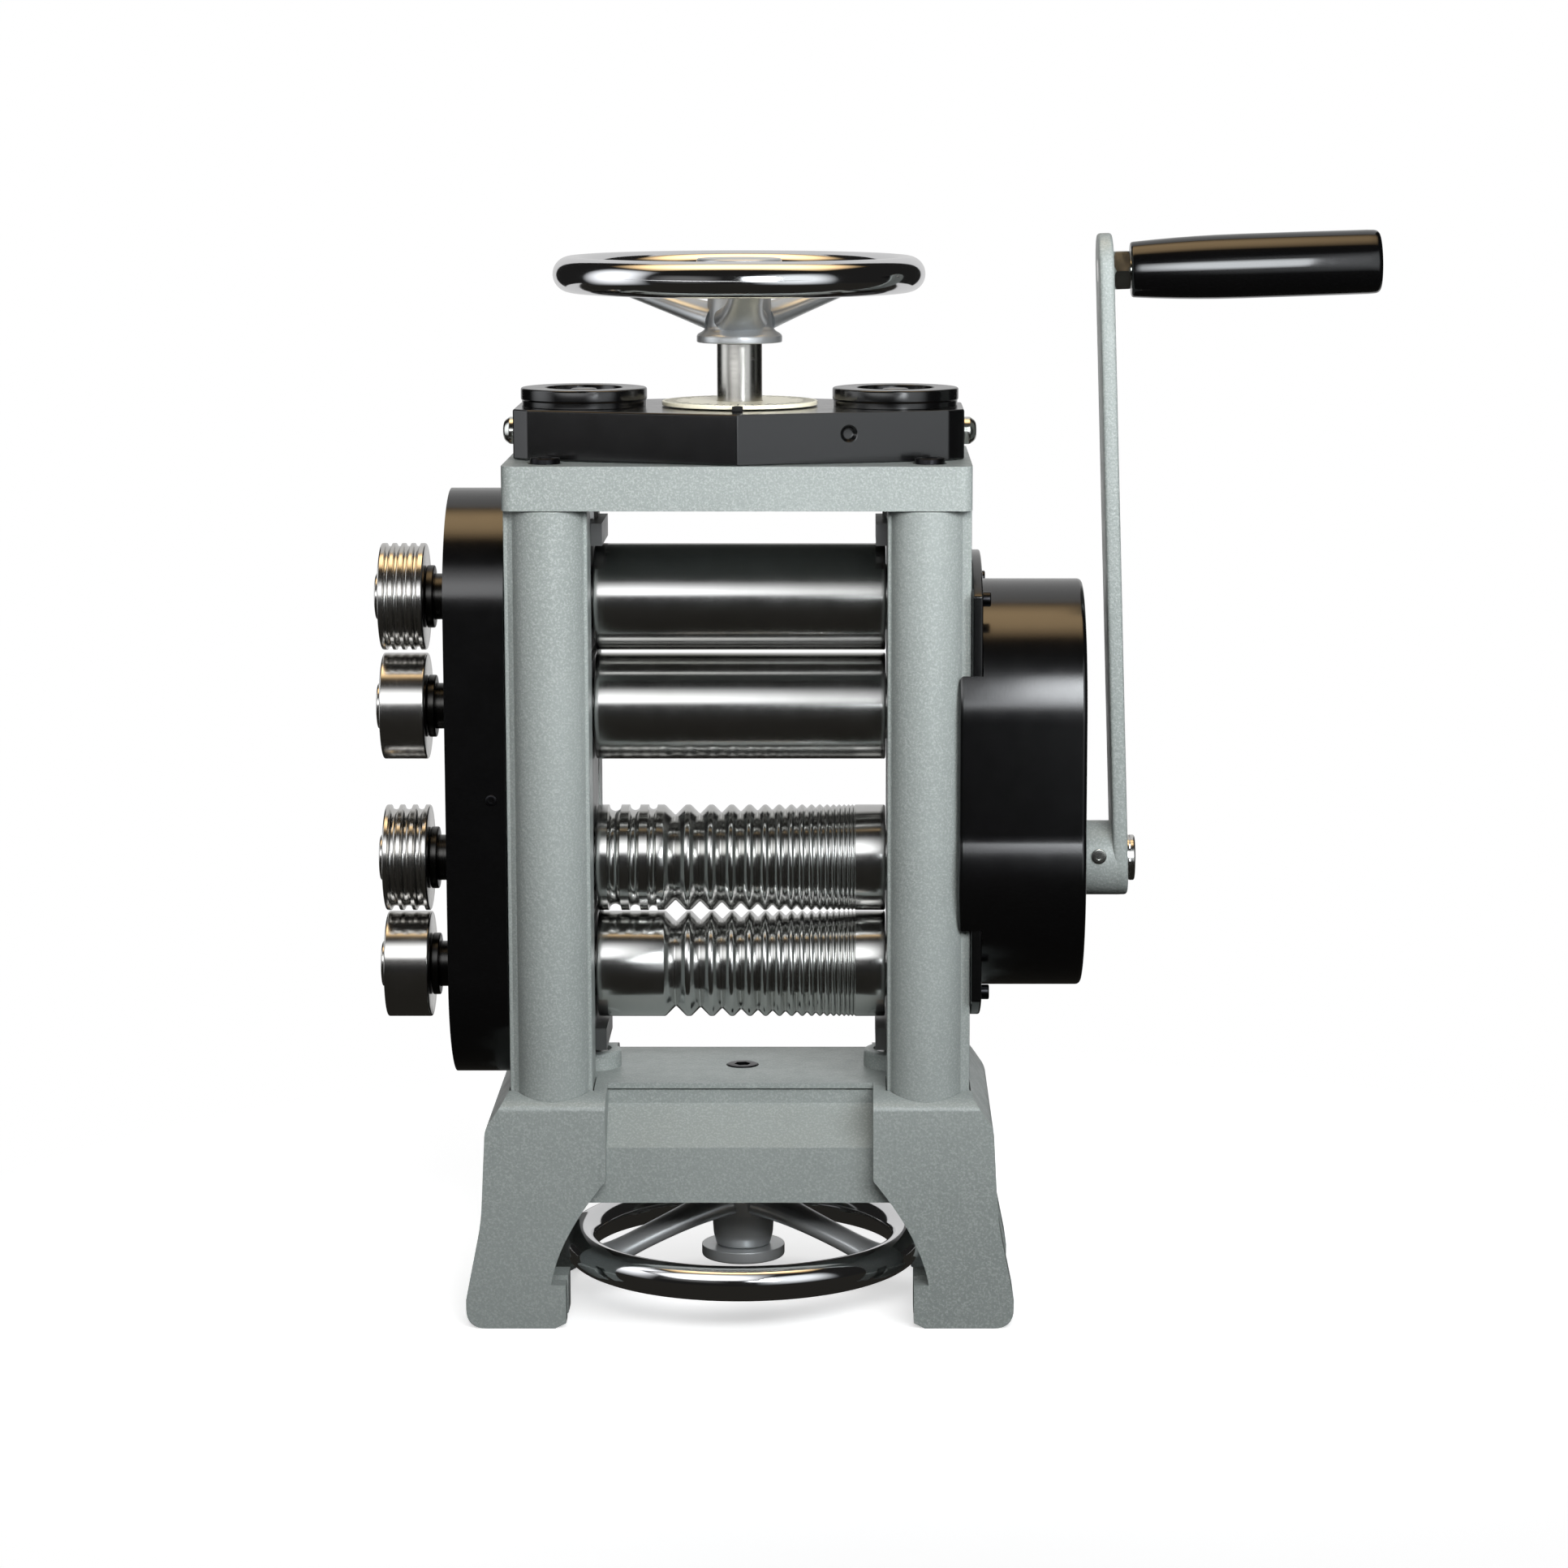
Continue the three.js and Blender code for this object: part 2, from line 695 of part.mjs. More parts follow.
function halfRoundGrooves(widths, firstPlace, land, radius, steps) {
  const points = [];
  let place = firstPlace;
  widths.forEach((width, i) => {
    points.push(...arc(place, radius, width / 2, 180, 360, steps));
    const next = widths[Math.min(i + 1, widths.length - 1)];
    place += (width + next) / 2 + land;
  });
  return points;
}

const frameEnd = pillarOuter - 1;
const journalEnd = couplingFrom - seatGap;
const roundGrooves = halfRoundGrooves(
  halfRoundWidths,
  firstHalfRoundPlace,
  halfRoundLand,
  rollRadius,
  halfRoundSteps,
);
const flatUpper = [...leftSteps(), ...rightSteps(frameEnd, 0)];
const flatLower = [...leftSteps(), ...rightSteps(journalEnd, bullTo + 2)];
const wireUpper = [...leftSteps(), ...roundGrooves, ...veeGrooves(), ...rightSteps(journalEnd, couplingTo + 0.5)];
const wireLower = [...leftSteps(), ...veeGrooves(), ...rightSteps(frameEnd, 0)];
const pilotHole = holeX(
  0,
  0,
  couplingTo - pilotLength,
  couplingTo + pilotLength,
  pilotDiameter + 2 * runningGap,
  12,
);
add("roll_flat_upper", steel, turnedX(flatUpper), 0, 0, rollAHeight);
add("roll_flat_lower", steel, turnedX(flatLower), 0, 0, rollBHeight);
add("roll_wire_upper", steel, cut(turnedX(wireUpper, grooveSides), pilotHole), 0, 0, rollCHeight);
add("roll_wire_lower", steel, turnedX(wireLower, grooveSides), 0, 0, rollDHeight);

// Left gears: deep teeth that stay in mesh while the gap of the rolls changes
const rollGearForm = {
  teeth: rollGearTeeth,
  outer: rollGearOuter,
  pitch: rollRadius,
  root: rollGearRoot,
  tooth: rollGearTooth,
};
const halfRollPitch = Math.PI / rollGearTeeth;
const rollNames = [
  ["flat_upper", rollAHeight, -Math.PI / 2],
  ["flat_lower", rollBHeight, Math.PI / 2 + halfRollPitch],
  ["wire_upper", rollCHeight, -Math.PI / 2],
  ["wire_lower", rollDHeight, Math.PI / 2 + halfRollPitch],
];
for (const [rollName, height, toothAngle] of rollNames) {
  const outline = addBore(gearOutline(rollGearForm, toothAngle), rollGearSeat + 2 * seatGap);
  add(`side_gear_${rollName}`, steel, pushedX(outline, gearLeft, gearRight), 0, 0, height);
}

// Left cover: a round-ended shell over the four gears, on a plate against the pillars
function stadium(radius) {
  return shapeOf([
    ...arc(0, rollAHeight, radius, 0, 180, coverSteps),
    ...arc(0, rollDHeight, radius, 180, 360, coverSteps),
  ]);
}

function makeGearCoverPlate() {
  const plate = pushedX(
    stadium(coverRadius - coverWall - slideGap),
    -(sideFace + coverPlateThickness),
    -sideFace,
  );
  const holes = rollNames.map(([rollName, height]) => {
    const moves = rollName === "flat_upper" || rollName === "wire_lower";
    const room = moves ? adjustHoleRoom : runningGap;
    return holeX(0, height, -pillarOuter * 2, 0, journalDiameter + 2 * room);
  });
  return cut(plate, ...holes);
}

function makeGearCover() {
  const outer = pushedX(stadium(coverRadius), coverFace, -sideFace);
  const inner = pushedX(stadium(coverRadius - coverWall), coverFace + coverWall, -sideFace + overshoot);
  const rim = coverFace + coverWall;
  const holes = rollNames.map(([, height]) =>
    holeX(0, height, coverFace - overshoot, rim + overshoot, stubDiameter + 2 * adjustHoleRoom),
  );
  return cut(outer, inner, ...holes);
}
add("gear_cover_plate", castSteel, makeGearCoverPlate());
add("gear_cover", black, makeGearCover());

// Extension rolls on the left ends: two half-round patterns and two plain ones
const sideRollGrooves = {
  flat_upper: { width: 3.4, count: 4, land: 1.7 },
  wire_upper: { width: 5.2, count: 3, land: 1.8 },
};

function makeSideRoll(rollName) {
  const pattern = sideRollGrooves[rollName];
  const bore = clearing(sideRollSeat / 2 + seatGap, grooveSides);
  const outerFace = sideRollOuter - sideRollBoss;
  let grooves = [];
  if (pattern) {
    const run = (pattern.count - 1) * (pattern.width + pattern.land);
    const widths = Array(pattern.count).fill(pattern.width);
    const first = (sideRollOuter + sideRollInner - run) / 2;
    grooves = halfRoundGrooves(widths, first, pattern.land, rollRadius, halfRoundSteps);
  }
  return turnedX(
    [
      [outerFace, 0],
      [outerFace, stubDiameter / 2],
      [sideRollOuter, stubDiameter / 2],
      [sideRollOuter, rollRadius - sideRollRim],
      [sideRollOuter + sideRollRim, rollRadius],
      ...grooves,
      [sideRollInner - sideRollRim, rollRadius],
      [sideRollInner, rollRadius - sideRollRim],
      [sideRollInner, bore],
      [sideRollOuter, bore],
      [sideRollOuter, 0],
    ],
    grooveSides,
  );
}
for (const [rollName, height] of rollNames) {
  add(`side_roll_${rollName}`, steel, makeSideRoll(rollName), 0, 0, height);
}

// Gearbox: the crank's pinion drives the bull gear on one roll, and equal gears turn the next
const couplingForm = standardGear(gearModule, couplingTeeth);
const bullForm = standardGear(gearModule, bullTeeth);
const pinionForm = standardGear(gearModule, pinionTeeth);
const seatBore = gearSeat + 2 * seatGap;
const downTooth = -Math.PI / 2;
const upGap = (teeth) => Math.PI / 2 + Math.PI / teeth;
const upperCoupling = addBore(gearOutline(couplingForm, downTooth), seatBore);
const lowerCoupling = addBore(gearOutline(couplingForm, upGap(couplingTeeth)), seatBore);
const bull = addBore(gearOutline(bullForm, downTooth), seatBore);
add("coupling_gear_upper", steel, pushedX(upperCoupling, couplingFrom, couplingTo), 0, 0, rollBHeight);
add("coupling_gear_lower", steel, pushedX(lowerCoupling, couplingFrom, couplingTo), 0, 0, rollCHeight);
add("bull_gear", steel, pushedX(bull, bullFrom, bullTo), 0, 0, rollBHeight);

const gearboxFrom = sideFace + gearboxPlateThickness + seatGap;
const gearboxTo = gearboxFrom + gearboxDepth;
const hubFrom = gearboxTo + crankHubGap;
const hubTo = hubFrom + crankHubLength;
const shaftEnd = hubTo + crankThickness + shaftEndProud;

function makeInputShaft() {
  const shaft = turnedX(
    [
      [couplingTo - pilotLength + 1, 0],
      [couplingTo - pilotLength + 1, pilotDiameter / 2],
      [bullFrom, pilotDiameter / 2],
      [bullFrom, inputShaftDiameter / 2],
      [shaftEnd - 1, inputShaftDiameter / 2],
      [shaftEnd, inputShaftDiameter / 2 - 1],
      [shaftEnd, 0],
    ],
    boreSides,
  );
  return join(shaft, pushedX(gearOutline(pinionForm, upGap(pinionTeeth)), bullFrom, bullTo));
}

function makeGearboxPlate() {
  const reach = THREE.MathUtils.radToDeg(Math.acos(gearboxPlateHalfDepth / gearboxPlateRadius));
  const outline = shapeOf([
    ...arc(0, gearboxHeight, gearboxPlateRadius, reach, 180 - reach, 10),
    ...arc(0, gearboxHeight, gearboxPlateRadius, 180 + reach, 360 - reach, 10),
  ]);
  const plate = pushedX(outline, sideFace, sideFace + gearboxPlateThickness);
  const holes = [rollBHeight, rollCHeight].map((height) =>
    holeX(0, height, 0, gearboxTo, journalDiameter + 2 * runningGap),
  );
  return cut(plate, ...holes);
}

// The casing's outline: a round head over the large gear, straight sides, and a fuller lobe round the pinion
function gearboxOutline(inset) {
  const head = gearboxRadius - inset;
  const lobe = pinionLobeRadius - inset;
  const crease = THREE.MathUtils.radToDeg(Math.acos(head / lobe));
  const lobeHeight = rollCHeight + pinionLobeLift;
  return shapeOf([
    ...arc(0, rollBHeight, head, 0, 180, gearboxSteps),
    ...arc(0, lobeHeight, lobe, 180 - crease, 360 + crease, gearboxSteps),
  ]);
}

function makeGearboxCover() {
  const shoulder = gearboxTo - gearboxRound;
  const body = pushedX(gearboxOutline(0), gearboxFrom, shoulder);
  const face = pushedX(gearboxOutline(gearboxRound / 2), shoulder - overshoot, gearboxTo);
  const inner = pushedX(gearboxOutline(gearboxWall), gearboxFrom - skirtReach - overshoot, gearboxTo - gearboxWall);
  const skirt = pushedX(gearboxOutline(0), gearboxFrom - skirtReach, gearboxFrom + 1);
  const frameRoom = block(
    0,
    gearboxFrom,
    -gearboxPlateHalfDepth - slideGap,
    gearboxPlateHalfDepth + slideGap,
    0,
    plateTop,
  );
  const shaftHole = holeX(
    0,
    rollCHeight,
    gearboxFrom,
    gearboxTo + overshoot,
    inputShaftDiameter + 2 * (bushWall + runningGap + seatGap),
  );
  return cut(join(body, face, cut(skirt, frameRoom)), inner, shaftHole);
}

const bushInner = clearing(inputShaftDiameter / 2 + runningGap);
const bushOuter = inputShaftDiameter / 2 + runningGap + bushWall;
const bush = turnedX(ringProfile(gearboxTo - gearboxWall - 6, gearboxTo, bushInner, bushOuter), boreSides);
add("input_shaft", steel, makeInputShaft(), 0, 0, rollCHeight);
add("gearbox_plate", castSteel, makeGearboxPlate());
add("gearbox_cover", black, makeGearboxCover());
add("gearbox_bush", bronze, bush, 0, 0, rollCHeight);

// Crank: a flat arm with a round hub, bent in a little, and a grip that turns on its pin
const crank = new THREE.Group();
crank.position.set(hubTo + crankThickness / 2, 0, rollCHeight);
mill.add(crank);
const tilt = THREE.MathUtils.degToRad(crankTilt);

function makeCrankArm() {
  const hubRadius = crankHubDiameter / 2;
  const lean = THREE.MathUtils.radToDeg(Math.asin((hubRadius - crankEndRadius) / crankLength));
  const outline = shapeOf([
    ...arc(0, crankLength, crankEndRadius, lean, 180 - lean, 9),
    ...arc(0, 0, hubRadius, 180 - lean, 360 + lean, 9),
  ]);
  const bar = pushedX(outline, -crankThickness / 2, crankThickness / 2).rotateY(-tilt);
  const hub = barX(0, 0, hubFrom - crank.position.x, 0, crankHubDiameter, 20);
  const shaftHole = holeX(0, 0, -crankHubLength * 2, crankThickness, inputShaftDiameter + 2 * seatGap);
  const pinHole = holeX(0, crankLength, -crankThickness, crankThickness, handlePinDiameter + 2 * seatGap, 12);
  return cut(join(bar, hub), shaftHole, pinHole.rotateY(-tilt));
}
add("crank_arm", paint, makeCrankArm(), 0, 0, 0, crank);

const handle = new THREE.Group();
handle.rotation.y = -tilt;
handle.position.set(-crankLength * Math.sin(tilt), 0, crankLength * Math.cos(tilt));
crank.add(handle);
const hexFrom = crankThickness / 2 + seatGap;
const gripFrom = hexFrom + handleHexLength + slideGap;
const gripTo = gripFrom + gripLength;

function makeHandleSpindle() {
  const pinRadius = handlePinDiameter / 2;
  const hex = barX(0, 0, hexFrom, hexFrom + handleHexLength, (2 * handleHexWidth) / Math.sqrt(3), 6);
  const pin = turnedX(
    [
      [-crankThickness / 2, 0],
      [-crankThickness / 2, pinRadius],
      [gripTo - gripEndWall - 1, pinRadius],
      [gripTo - gripEndWall - 1, 0],
    ],
    12,
  );
  return join(hex, pin);
}

function makeGrip() {
  const root = gripRootDiameter / 2;
  const full = gripDiameter / 2;
  const bore = clearing(handlePinDiameter / 2 + runningGap, rollSides);
  return turnedX(
    [
      [gripFrom, bore],
      [gripFrom, root - 1],
      [gripFrom + 1, root],
      [gripFrom + gripLength * 0.2, (root + full * 2) / 3],
      [gripFrom + gripLength * 0.4, full],
      [gripTo - 6, full - 0.3],
      [gripTo - 2, full - 2],
      [gripTo, full - 5],
      [gripTo, 0],
      [gripTo - gripEndWall, 0],
      [gripTo - gripEndWall, bore],
      [gripFrom, bore],
    ],
    rollSides,
  );
}
add("handle_spindle", steel, makeHandleSpindle(), 0, 0, 0, handle);
add("handle_grip", phenolic, makeGrip(), 0, 0, 0, handle);

// Head: the black case over the upper gear train, its two caps, and the lock screws at its ends
const headFoot = plateTop + seatGap;
const headTop = headFoot + headHeight;

function headOutline(inset) {
  const run = headHalfLength - headEndCut;
  const rise = headHalfDepth - headEndHalfDepth;
  const facetInset = inset * Math.hypot(run, rise) / run;
  const endX = headHalfLength - inset;
  const corner = headEndHalfDepth - facetInset + (rise / run) * inset * 0.5;
  const points = [
    [0, headHalfDepth - facetInset],
    [run - inset * 0.5, corner],
    [endX, headEndHalfDepth - headEndCut],
  ];
  const mirrored = points.slice(1).reverse();
  return shapeOf([
    ...points,
    ...mirrored.map(([x, y]) => [x, -y]),
    [0, -points[0][1]],
    ...points.slice(1).map(([x, y]) => [-x, -y]),
    ...mirrored.map(([x, y]) => [-x, y]),
  ]);
}

function makeHeadCasing() {
  const shell = pushedZ(headOutline(0), headFoot, headTop);
  const hollow = pushedZ(headOutline(headWall), headFoot - overshoot, headTop - headTopWall);
  const spindleHole = holeZ(0, 0, headFoot, headTop + overshoot, spindleDiameter + 2 * runningGap);
  const lockHole = holeX(
    0,
    headFoot + headHeight / 2,
    -headHalfLength - overshoot,
    headHalfLength + overshoot,
    lockScrewShank + 2 * seatGap,
    8,
  );
  return cut(shell, hollow, spindleHole, lockHole);
}

const capRadius = capDiameter / 2;
const cap = turnedZ([
  [headTop + seatGap, 0],
  [headTop + seatGap, capRadius],
  [headTop + seatGap + capThickness - 1, capRadius],
  [headTop + seatGap + capThickness, capRadius - 1],
  [headTop + seatGap + capThickness, capRecessDiameter / 2],
  [headTop + seatGap + capThickness - capRecessDepth, capRecessDiameter / 2],
  [headTop + seatGap + capThickness - capRecessDepth, 0],
]);

function makeLockScrew(side) {
  const radius = lockScrewHead / 2;
  const face = headHalfLength + seatGap;
  const profile = [
    [face - headWall - lockScrewInside, 0],
    [face - headWall - lockScrewInside, lockScrewShank / 2],
    [face, lockScrewShank / 2],
    [face, radius],
    [face + lockScrewProud - 3, radius],
    [face + lockScrewProud, radius - 3.5],
    [face + lockScrewProud, 0],
  ];
  const screw = turnedX(profile, 8);
  return side < 0 ? screw.rotateZ(Math.PI) : screw;
}

add("head_casing", black, makeHeadCasing());
for (const [sideName, side] of sides) {
  add(`head_cap_${sideName}`, black, cap.clone(), side * screwX);
  add(`head_lock_screw_${sideName}`, steel, makeLockScrew(side), 0, 0, headFoot + headHeight / 2);
}

// Gear trains: the wheel's gear turns both screws, which push the bearing blocks
const wheelGearForm = standardGear(trainModule, wheelGearTeeth, trainBacklash);
const screwGearForm = standardGear(trainModule, screwGearTeeth, trainBacklash);
const trainFoot = plateTop + trainFloorGap;

// Built with the gear's foot at z = 0, the plate below it, and flipped over for the lower train
function makeScrew(side, noseAt) {
  const facing = side > 0 ? Math.PI : 0;
  const gear = pushedZ(gearOutline(screwGearForm, facing + Math.PI / screwGearTeeth), 2, 2 + screwGearThickness);
  const radius = screwDiameter / 2;
  const nose = screwNoseDiameter / 2;
  const stem = turnedZ(
    [
      [noseAt, 0],
      [noseAt, nose],
      [noseAt + screwNoseLength, nose],
      [noseAt + screwNoseLength + 2, radius],
      [2, radius],
      [2 + screwGearThickness, radius],
      [2 + screwGearThickness, nose],
      [6 + screwGearThickness, nose],
      [6 + screwGearThickness, 0],
    ],
    boreSides,
  );
  return join(gear, stem);
}

function makeWheelGear() {
  const outline = addBore(gearOutline(wheelGearForm, 0), spindleSeatDiameter + 2 * seatGap);
  return pushedZ(outline, 0, trainGearThickness);
}

function flipped(geometry) {
  return geometry.rotateX(Math.PI);
}

const upperNose = rollAHeight + headRise + chockHeadThickness + seatGap;
const lowerNose = rollDHeight - headRise - chockHeadThickness - seatGap;
const lowerTrainTop = deckUnderside - trainFloorGap;
for (const [sideName, side] of sides) {
  const upper = makeScrew(side, upperNose - trainFoot);
  const lower = flipped(makeScrew(side, lowerTrainTop - lowerNose));
  add(`top_screw_${sideName}`, steel, upper, side * screwX, 0, trainFoot);
  add(`bottom_screw_${sideName}`, steel, lower, side * screwX, 0, lowerTrainTop);
}
add("top_centre_gear", steel, makeWheelGear(), 0, 0, trainFoot);
add("bottom_centre_gear", steel, flipped(makeWheelGear()), 0, 0, lowerTrainTop);

// Handwheel with its hub at the foot and the rim's middle at z = 0
function makeHandwheel(spokeAngle) {
  const hubRadius = wheelHubDiameter / 2;
  const bore = clearing(spindleHubDiameter / 2 + seatGap);
  const rim = new THREE.TorusGeometry(wheelRimRadius, wheelTubeRadius, 8, 20);
  const hub = turnedZ(
    [
      [-wheelDish, bore],
      [-wheelDish, wheelFlangeDiameter / 2],
      [-wheelDish + wheelFlangeThickness, wheelFlangeDiameter / 2],
      [-wheelDish + wheelFlangeThickness + 3, hubRadius],
      [wheelHubTop, hubRadius - 3],
      [wheelHubTop, bore],
      [-wheelDish, bore],
    ],
    boreSides,
  );
  const inner = new THREE.Vector3(hubRadius - 4, 0, -wheelDish + wheelFlangeThickness + 7);
  const outer = new THREE.Vector3(wheelRimRadius - 2, 0, -1);
  const length = inner.distanceTo(outer);
  const pieces = [rim, hub];
  for (let i = 0; i < spokeCount; i++) {
    const spoke = new THREE.CylinderGeometry(0.9, 1, length, 6);
    spoke.scale(spokeHalfThickness, 1, spokeHalfWidth);
    spoke.rotateZ(-Math.atan2(outer.x - inner.x, outer.z - inner.z));
    spoke.rotateX(Math.PI / 2);
    spoke.translate((inner.x + outer.x) / 2, 0, (inner.z + outer.z) / 2);
    spoke.rotateZ(THREE.MathUtils.degToRad(spokeAngle + (360 * i) / spokeCount));
    pieces.push(spoke);
  }
  return join(...pieces);
}

// Spindle from its pivot in the plate to its thread in the hub, with the gear's foot at z = 0
function makeSpindle(pivotFrom, sleeveTop, hubTop) {
  return turnedZ(
    [
      [pivotFrom, 0],
      [pivotFrom, spindlePivotDiameter / 2],
      [-seatGap, spindlePivotDiameter / 2],
      [-seatGap, spindleSeatDiameter / 2],
      [trainGearThickness + seatGap, spindleSeatDiameter / 2],
      [trainGearThickness + seatGap, spindleDiameter / 2],
      [sleeveTop, spindleDiameter / 2],
      [sleeveTop, spindleHubDiameter / 2],
      [hubTop, spindleHubDiameter / 2],
      [hubTop, 0],
    ],
    boreSides,
  );
}

// Round cap nut on the spindle's end, with its open side at z = 0
function makeWheelCap() {
  const bore = clearing(spindleHubDiameter / 2 + seatGap);
  const radius = wheelFlangeDiameter / 2;
  return turnedZ(
    [
      [0, bore],
      [0, radius],
      [wheelCapThickness - 1, radius],
      [wheelCapThickness, radius - 1],
      [wheelCapThickness, 0],
      [wheelCapThickness - wheelCapRoof, 0],
      [wheelCapThickness - wheelCapRoof, bore],
      [0, bore],
    ],
    boreSides,
  );
}

const dialFoot = headTop + 0.7;
const dialSides = 20;
const dialBore = clearing(spindleDiameter / 2 + seatGap, dialSides);
const dial = turnedZ(ringProfile(dialFoot, dialFoot + dialThickness, dialBore, dialDiameter / 2), dialSides);
add("dial_ring", cream, dial);

const topFlange = dialFoot + dialThickness + sleeveLength;
const topRim = topFlange + wheelDish + seatGap;
const topSpindle = makeSpindle(
  plateUnderside + 4 - trainFoot,
  topFlange - trainFoot,
  topRim + wheelHubTop + wheelCapThickness - wheelCapRoof - trainFoot,
);
add("top_spindle", steel, topSpindle, 0, 0, trainFoot);
add("top_handwheel", chrome, makeHandwheel(topSpokeAngle), 0, 0, topRim);
add("top_wheel_cap", steel, makeWheelCap(), 0, 0, topRim + wheelHubTop + seatGap);

const bottomFlange = beamUnderside - crankHubGap;
const bottomRim = bottomFlange - wheelDish - seatGap;
const bottomSpindle = makeSpindle(
  lowerTrainTop - deckUnderside - deckThickness / 2,
  lowerTrainTop - bottomFlange,
  lowerTrainTop - bottomRim + wheelHubTop + wheelCapThickness - wheelCapRoof,
);
add("bottom_spindle", steel, flipped(bottomSpindle), 0, 0, lowerTrainTop);
add("bottom_handwheel", chrome, flipped(makeHandwheel(bottomSpokeAngle)), 0, 0, bottomRim);
add("bottom_wheel_cap", steel, flipped(makeWheelCap()), 0, 0, bottomRim - wheelHubTop - seatGap);

// The origin is the middle of the whole mill's box, on the bench
mill.updateMatrixWorld(true);
const box = new THREE.Box3().setFromObject(mill, true);
mill.position.x = -(box.min.x + box.max.x) / 2;

const group = new THREE.Group();
group.add(mill);
export default group;
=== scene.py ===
import math
import bmesh
import bpy
from mathutils import Matrix, Vector


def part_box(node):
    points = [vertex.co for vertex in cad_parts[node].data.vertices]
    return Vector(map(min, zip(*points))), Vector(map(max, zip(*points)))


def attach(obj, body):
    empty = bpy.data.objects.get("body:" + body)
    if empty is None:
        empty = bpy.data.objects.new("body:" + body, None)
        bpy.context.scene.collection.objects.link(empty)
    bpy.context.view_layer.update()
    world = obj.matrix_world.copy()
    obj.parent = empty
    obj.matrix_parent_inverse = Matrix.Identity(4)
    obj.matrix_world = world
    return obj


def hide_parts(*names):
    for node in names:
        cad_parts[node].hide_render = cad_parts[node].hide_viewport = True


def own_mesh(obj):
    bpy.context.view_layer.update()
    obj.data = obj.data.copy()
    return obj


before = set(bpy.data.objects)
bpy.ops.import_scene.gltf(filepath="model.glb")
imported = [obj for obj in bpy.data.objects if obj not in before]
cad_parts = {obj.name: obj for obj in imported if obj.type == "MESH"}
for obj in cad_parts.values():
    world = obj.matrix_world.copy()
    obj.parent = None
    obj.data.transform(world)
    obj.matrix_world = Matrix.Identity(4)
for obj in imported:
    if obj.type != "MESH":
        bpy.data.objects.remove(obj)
scene = bpy.context.scene
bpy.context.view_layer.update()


# Named sizes of one piece
class Sizes:
    def __init__(self, **values):
        for key, value in values.items():
            setattr(self, key, value)


# Places and sizes below are millimetres from the middle of the mill, as on a drawing of it
plateLow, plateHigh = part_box("top_plate")
middleX = (plateLow.x + plateHigh.x) / 2
signs = (-1, 1)
sides = {"left": -1, "right": 1}
rollBodies = {"flat_upper": "roll_a", "flat_lower": "roll_b", "wire_upper": "roll_c", "wire_lower": "roll_d"}


def placed(x, y, z):
    return (x / 1000 + middleX, y / 1000, z / 1000)


def nodeBox(node):
    return [Vector(((p.x - middleX) * 1000, p.y * 1000, p.z * 1000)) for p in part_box(node)]


def nodeMiddle(node):
    low, high = nodeBox(node)
    return (low + high) / 2


def linked(name, data):
    obj = bpy.data.objects.new(name, data)
    scene.collection.objects.link(obj)
    return obj


# Camera: a long lens a little above the head, with the photo's framing
view = Sizes(at=(60, -2282.5, 650), pitch=9.4, lens=96.9, sensor=36, shiftX=-0.0427, shiftY=0.0162, reach=50)
camera = linked("millCamera", bpy.data.cameras.new("millCamera"))
camera.location = placed(*view.at)
camera.rotation_euler = (math.radians(90 - view.pitch), 0, 0)
camera.data.lens = view.lens
camera.data.sensor_width = view.sensor
camera.data.shift_x = view.shiftX
camera.data.shift_y = view.shiftY
camera.data.clip_end = view.reach
scene.camera = camera
scene.view_settings.view_transform = "Standard"
print("camera placed")


# Gives each input its value, or a link where the value is another node's output
def feed(tree, node, inputs):
    for key, value in inputs.items():
        if isinstance(value, bpy.types.NodeSocket):
            tree.links.new(value, node.inputs[key])
        else:
            node.inputs[key].default_value = value


def addNode(tree, kind, place, inputs=None, **settings):
    node = tree.nodes.new(kind)
    node.location = place
    for key, value in settings.items():
        setattr(node, key, value)
    feed(tree, node, inputs or {})
    return node


def newGroup(name, kind, inputs, outputs):
    tree = bpy.data.node_groups.new(name, kind)
    for side, sockets in (("INPUT", inputs), ("OUTPUT", outputs)):
        for socketName, socketKind in sockets.items():
            tree.interface.new_socket(name=socketName, in_out=side, socket_type="NodeSocket" + socketKind)
    return tree, addNode(tree, "NodeGroupInput", (-900, 0)).outputs


def objectCoords(tree):
    return addNode(tree, "ShaderNodeTexCoord", (-900, -200)).outputs["Object"]


def noise(tree, place, scale, detail, roughness, vector):
    inputs = {"Scale": scale, "Detail": detail, "Roughness": roughness, "Vector": vector}
    return addNode(tree, "ShaderNodeTexNoise", place, inputs).outputs["Fac"]


def ramp(tree, place, low, high, toLow, toHigh, value):
    inputs = {"From Min": low, "From Max": high, "To Min": toLow, "To Max": toHigh, "Value": value}
    return addNode(tree, "ShaderNodeMapRange", place, inputs).outputs["Result"]


def calculated(tree, place, operation, first, second=0):
    return addNode(tree, "ShaderNodeMath", place, {0: first, 1: second}, operation=operation).outputs[0]


# Dust and handling marks: a slow mottle that any finish can lay over its colour and gloss
def makeHandlingGroup():
    inputs = {"patchScale": "Float", "fineScale": "Float"}
    tree, given = newGroup("handlingMarks", "ShaderNodeTree", inputs, {"patch": "Float", "fine": "Float"})
    coords = objectCoords(tree)
    patch = noise(tree, (-400, 100), given["patchScale"], 4, 0.55, coords)
    fine = noise(tree, (-400, -200), given["fineScale"], 6, 0.6, coords)
    patchMask = ramp(tree, (-100, 100), 0.38, 0.68, 0, 1, patch)
    fineMask = ramp(tree, (-100, -200), 0.35, 0.7, 0, 1, fine)
    addNode(tree, "NodeGroupOutput", (300, 0), {"patch": patchMask, "fine": fineMask})
    return tree


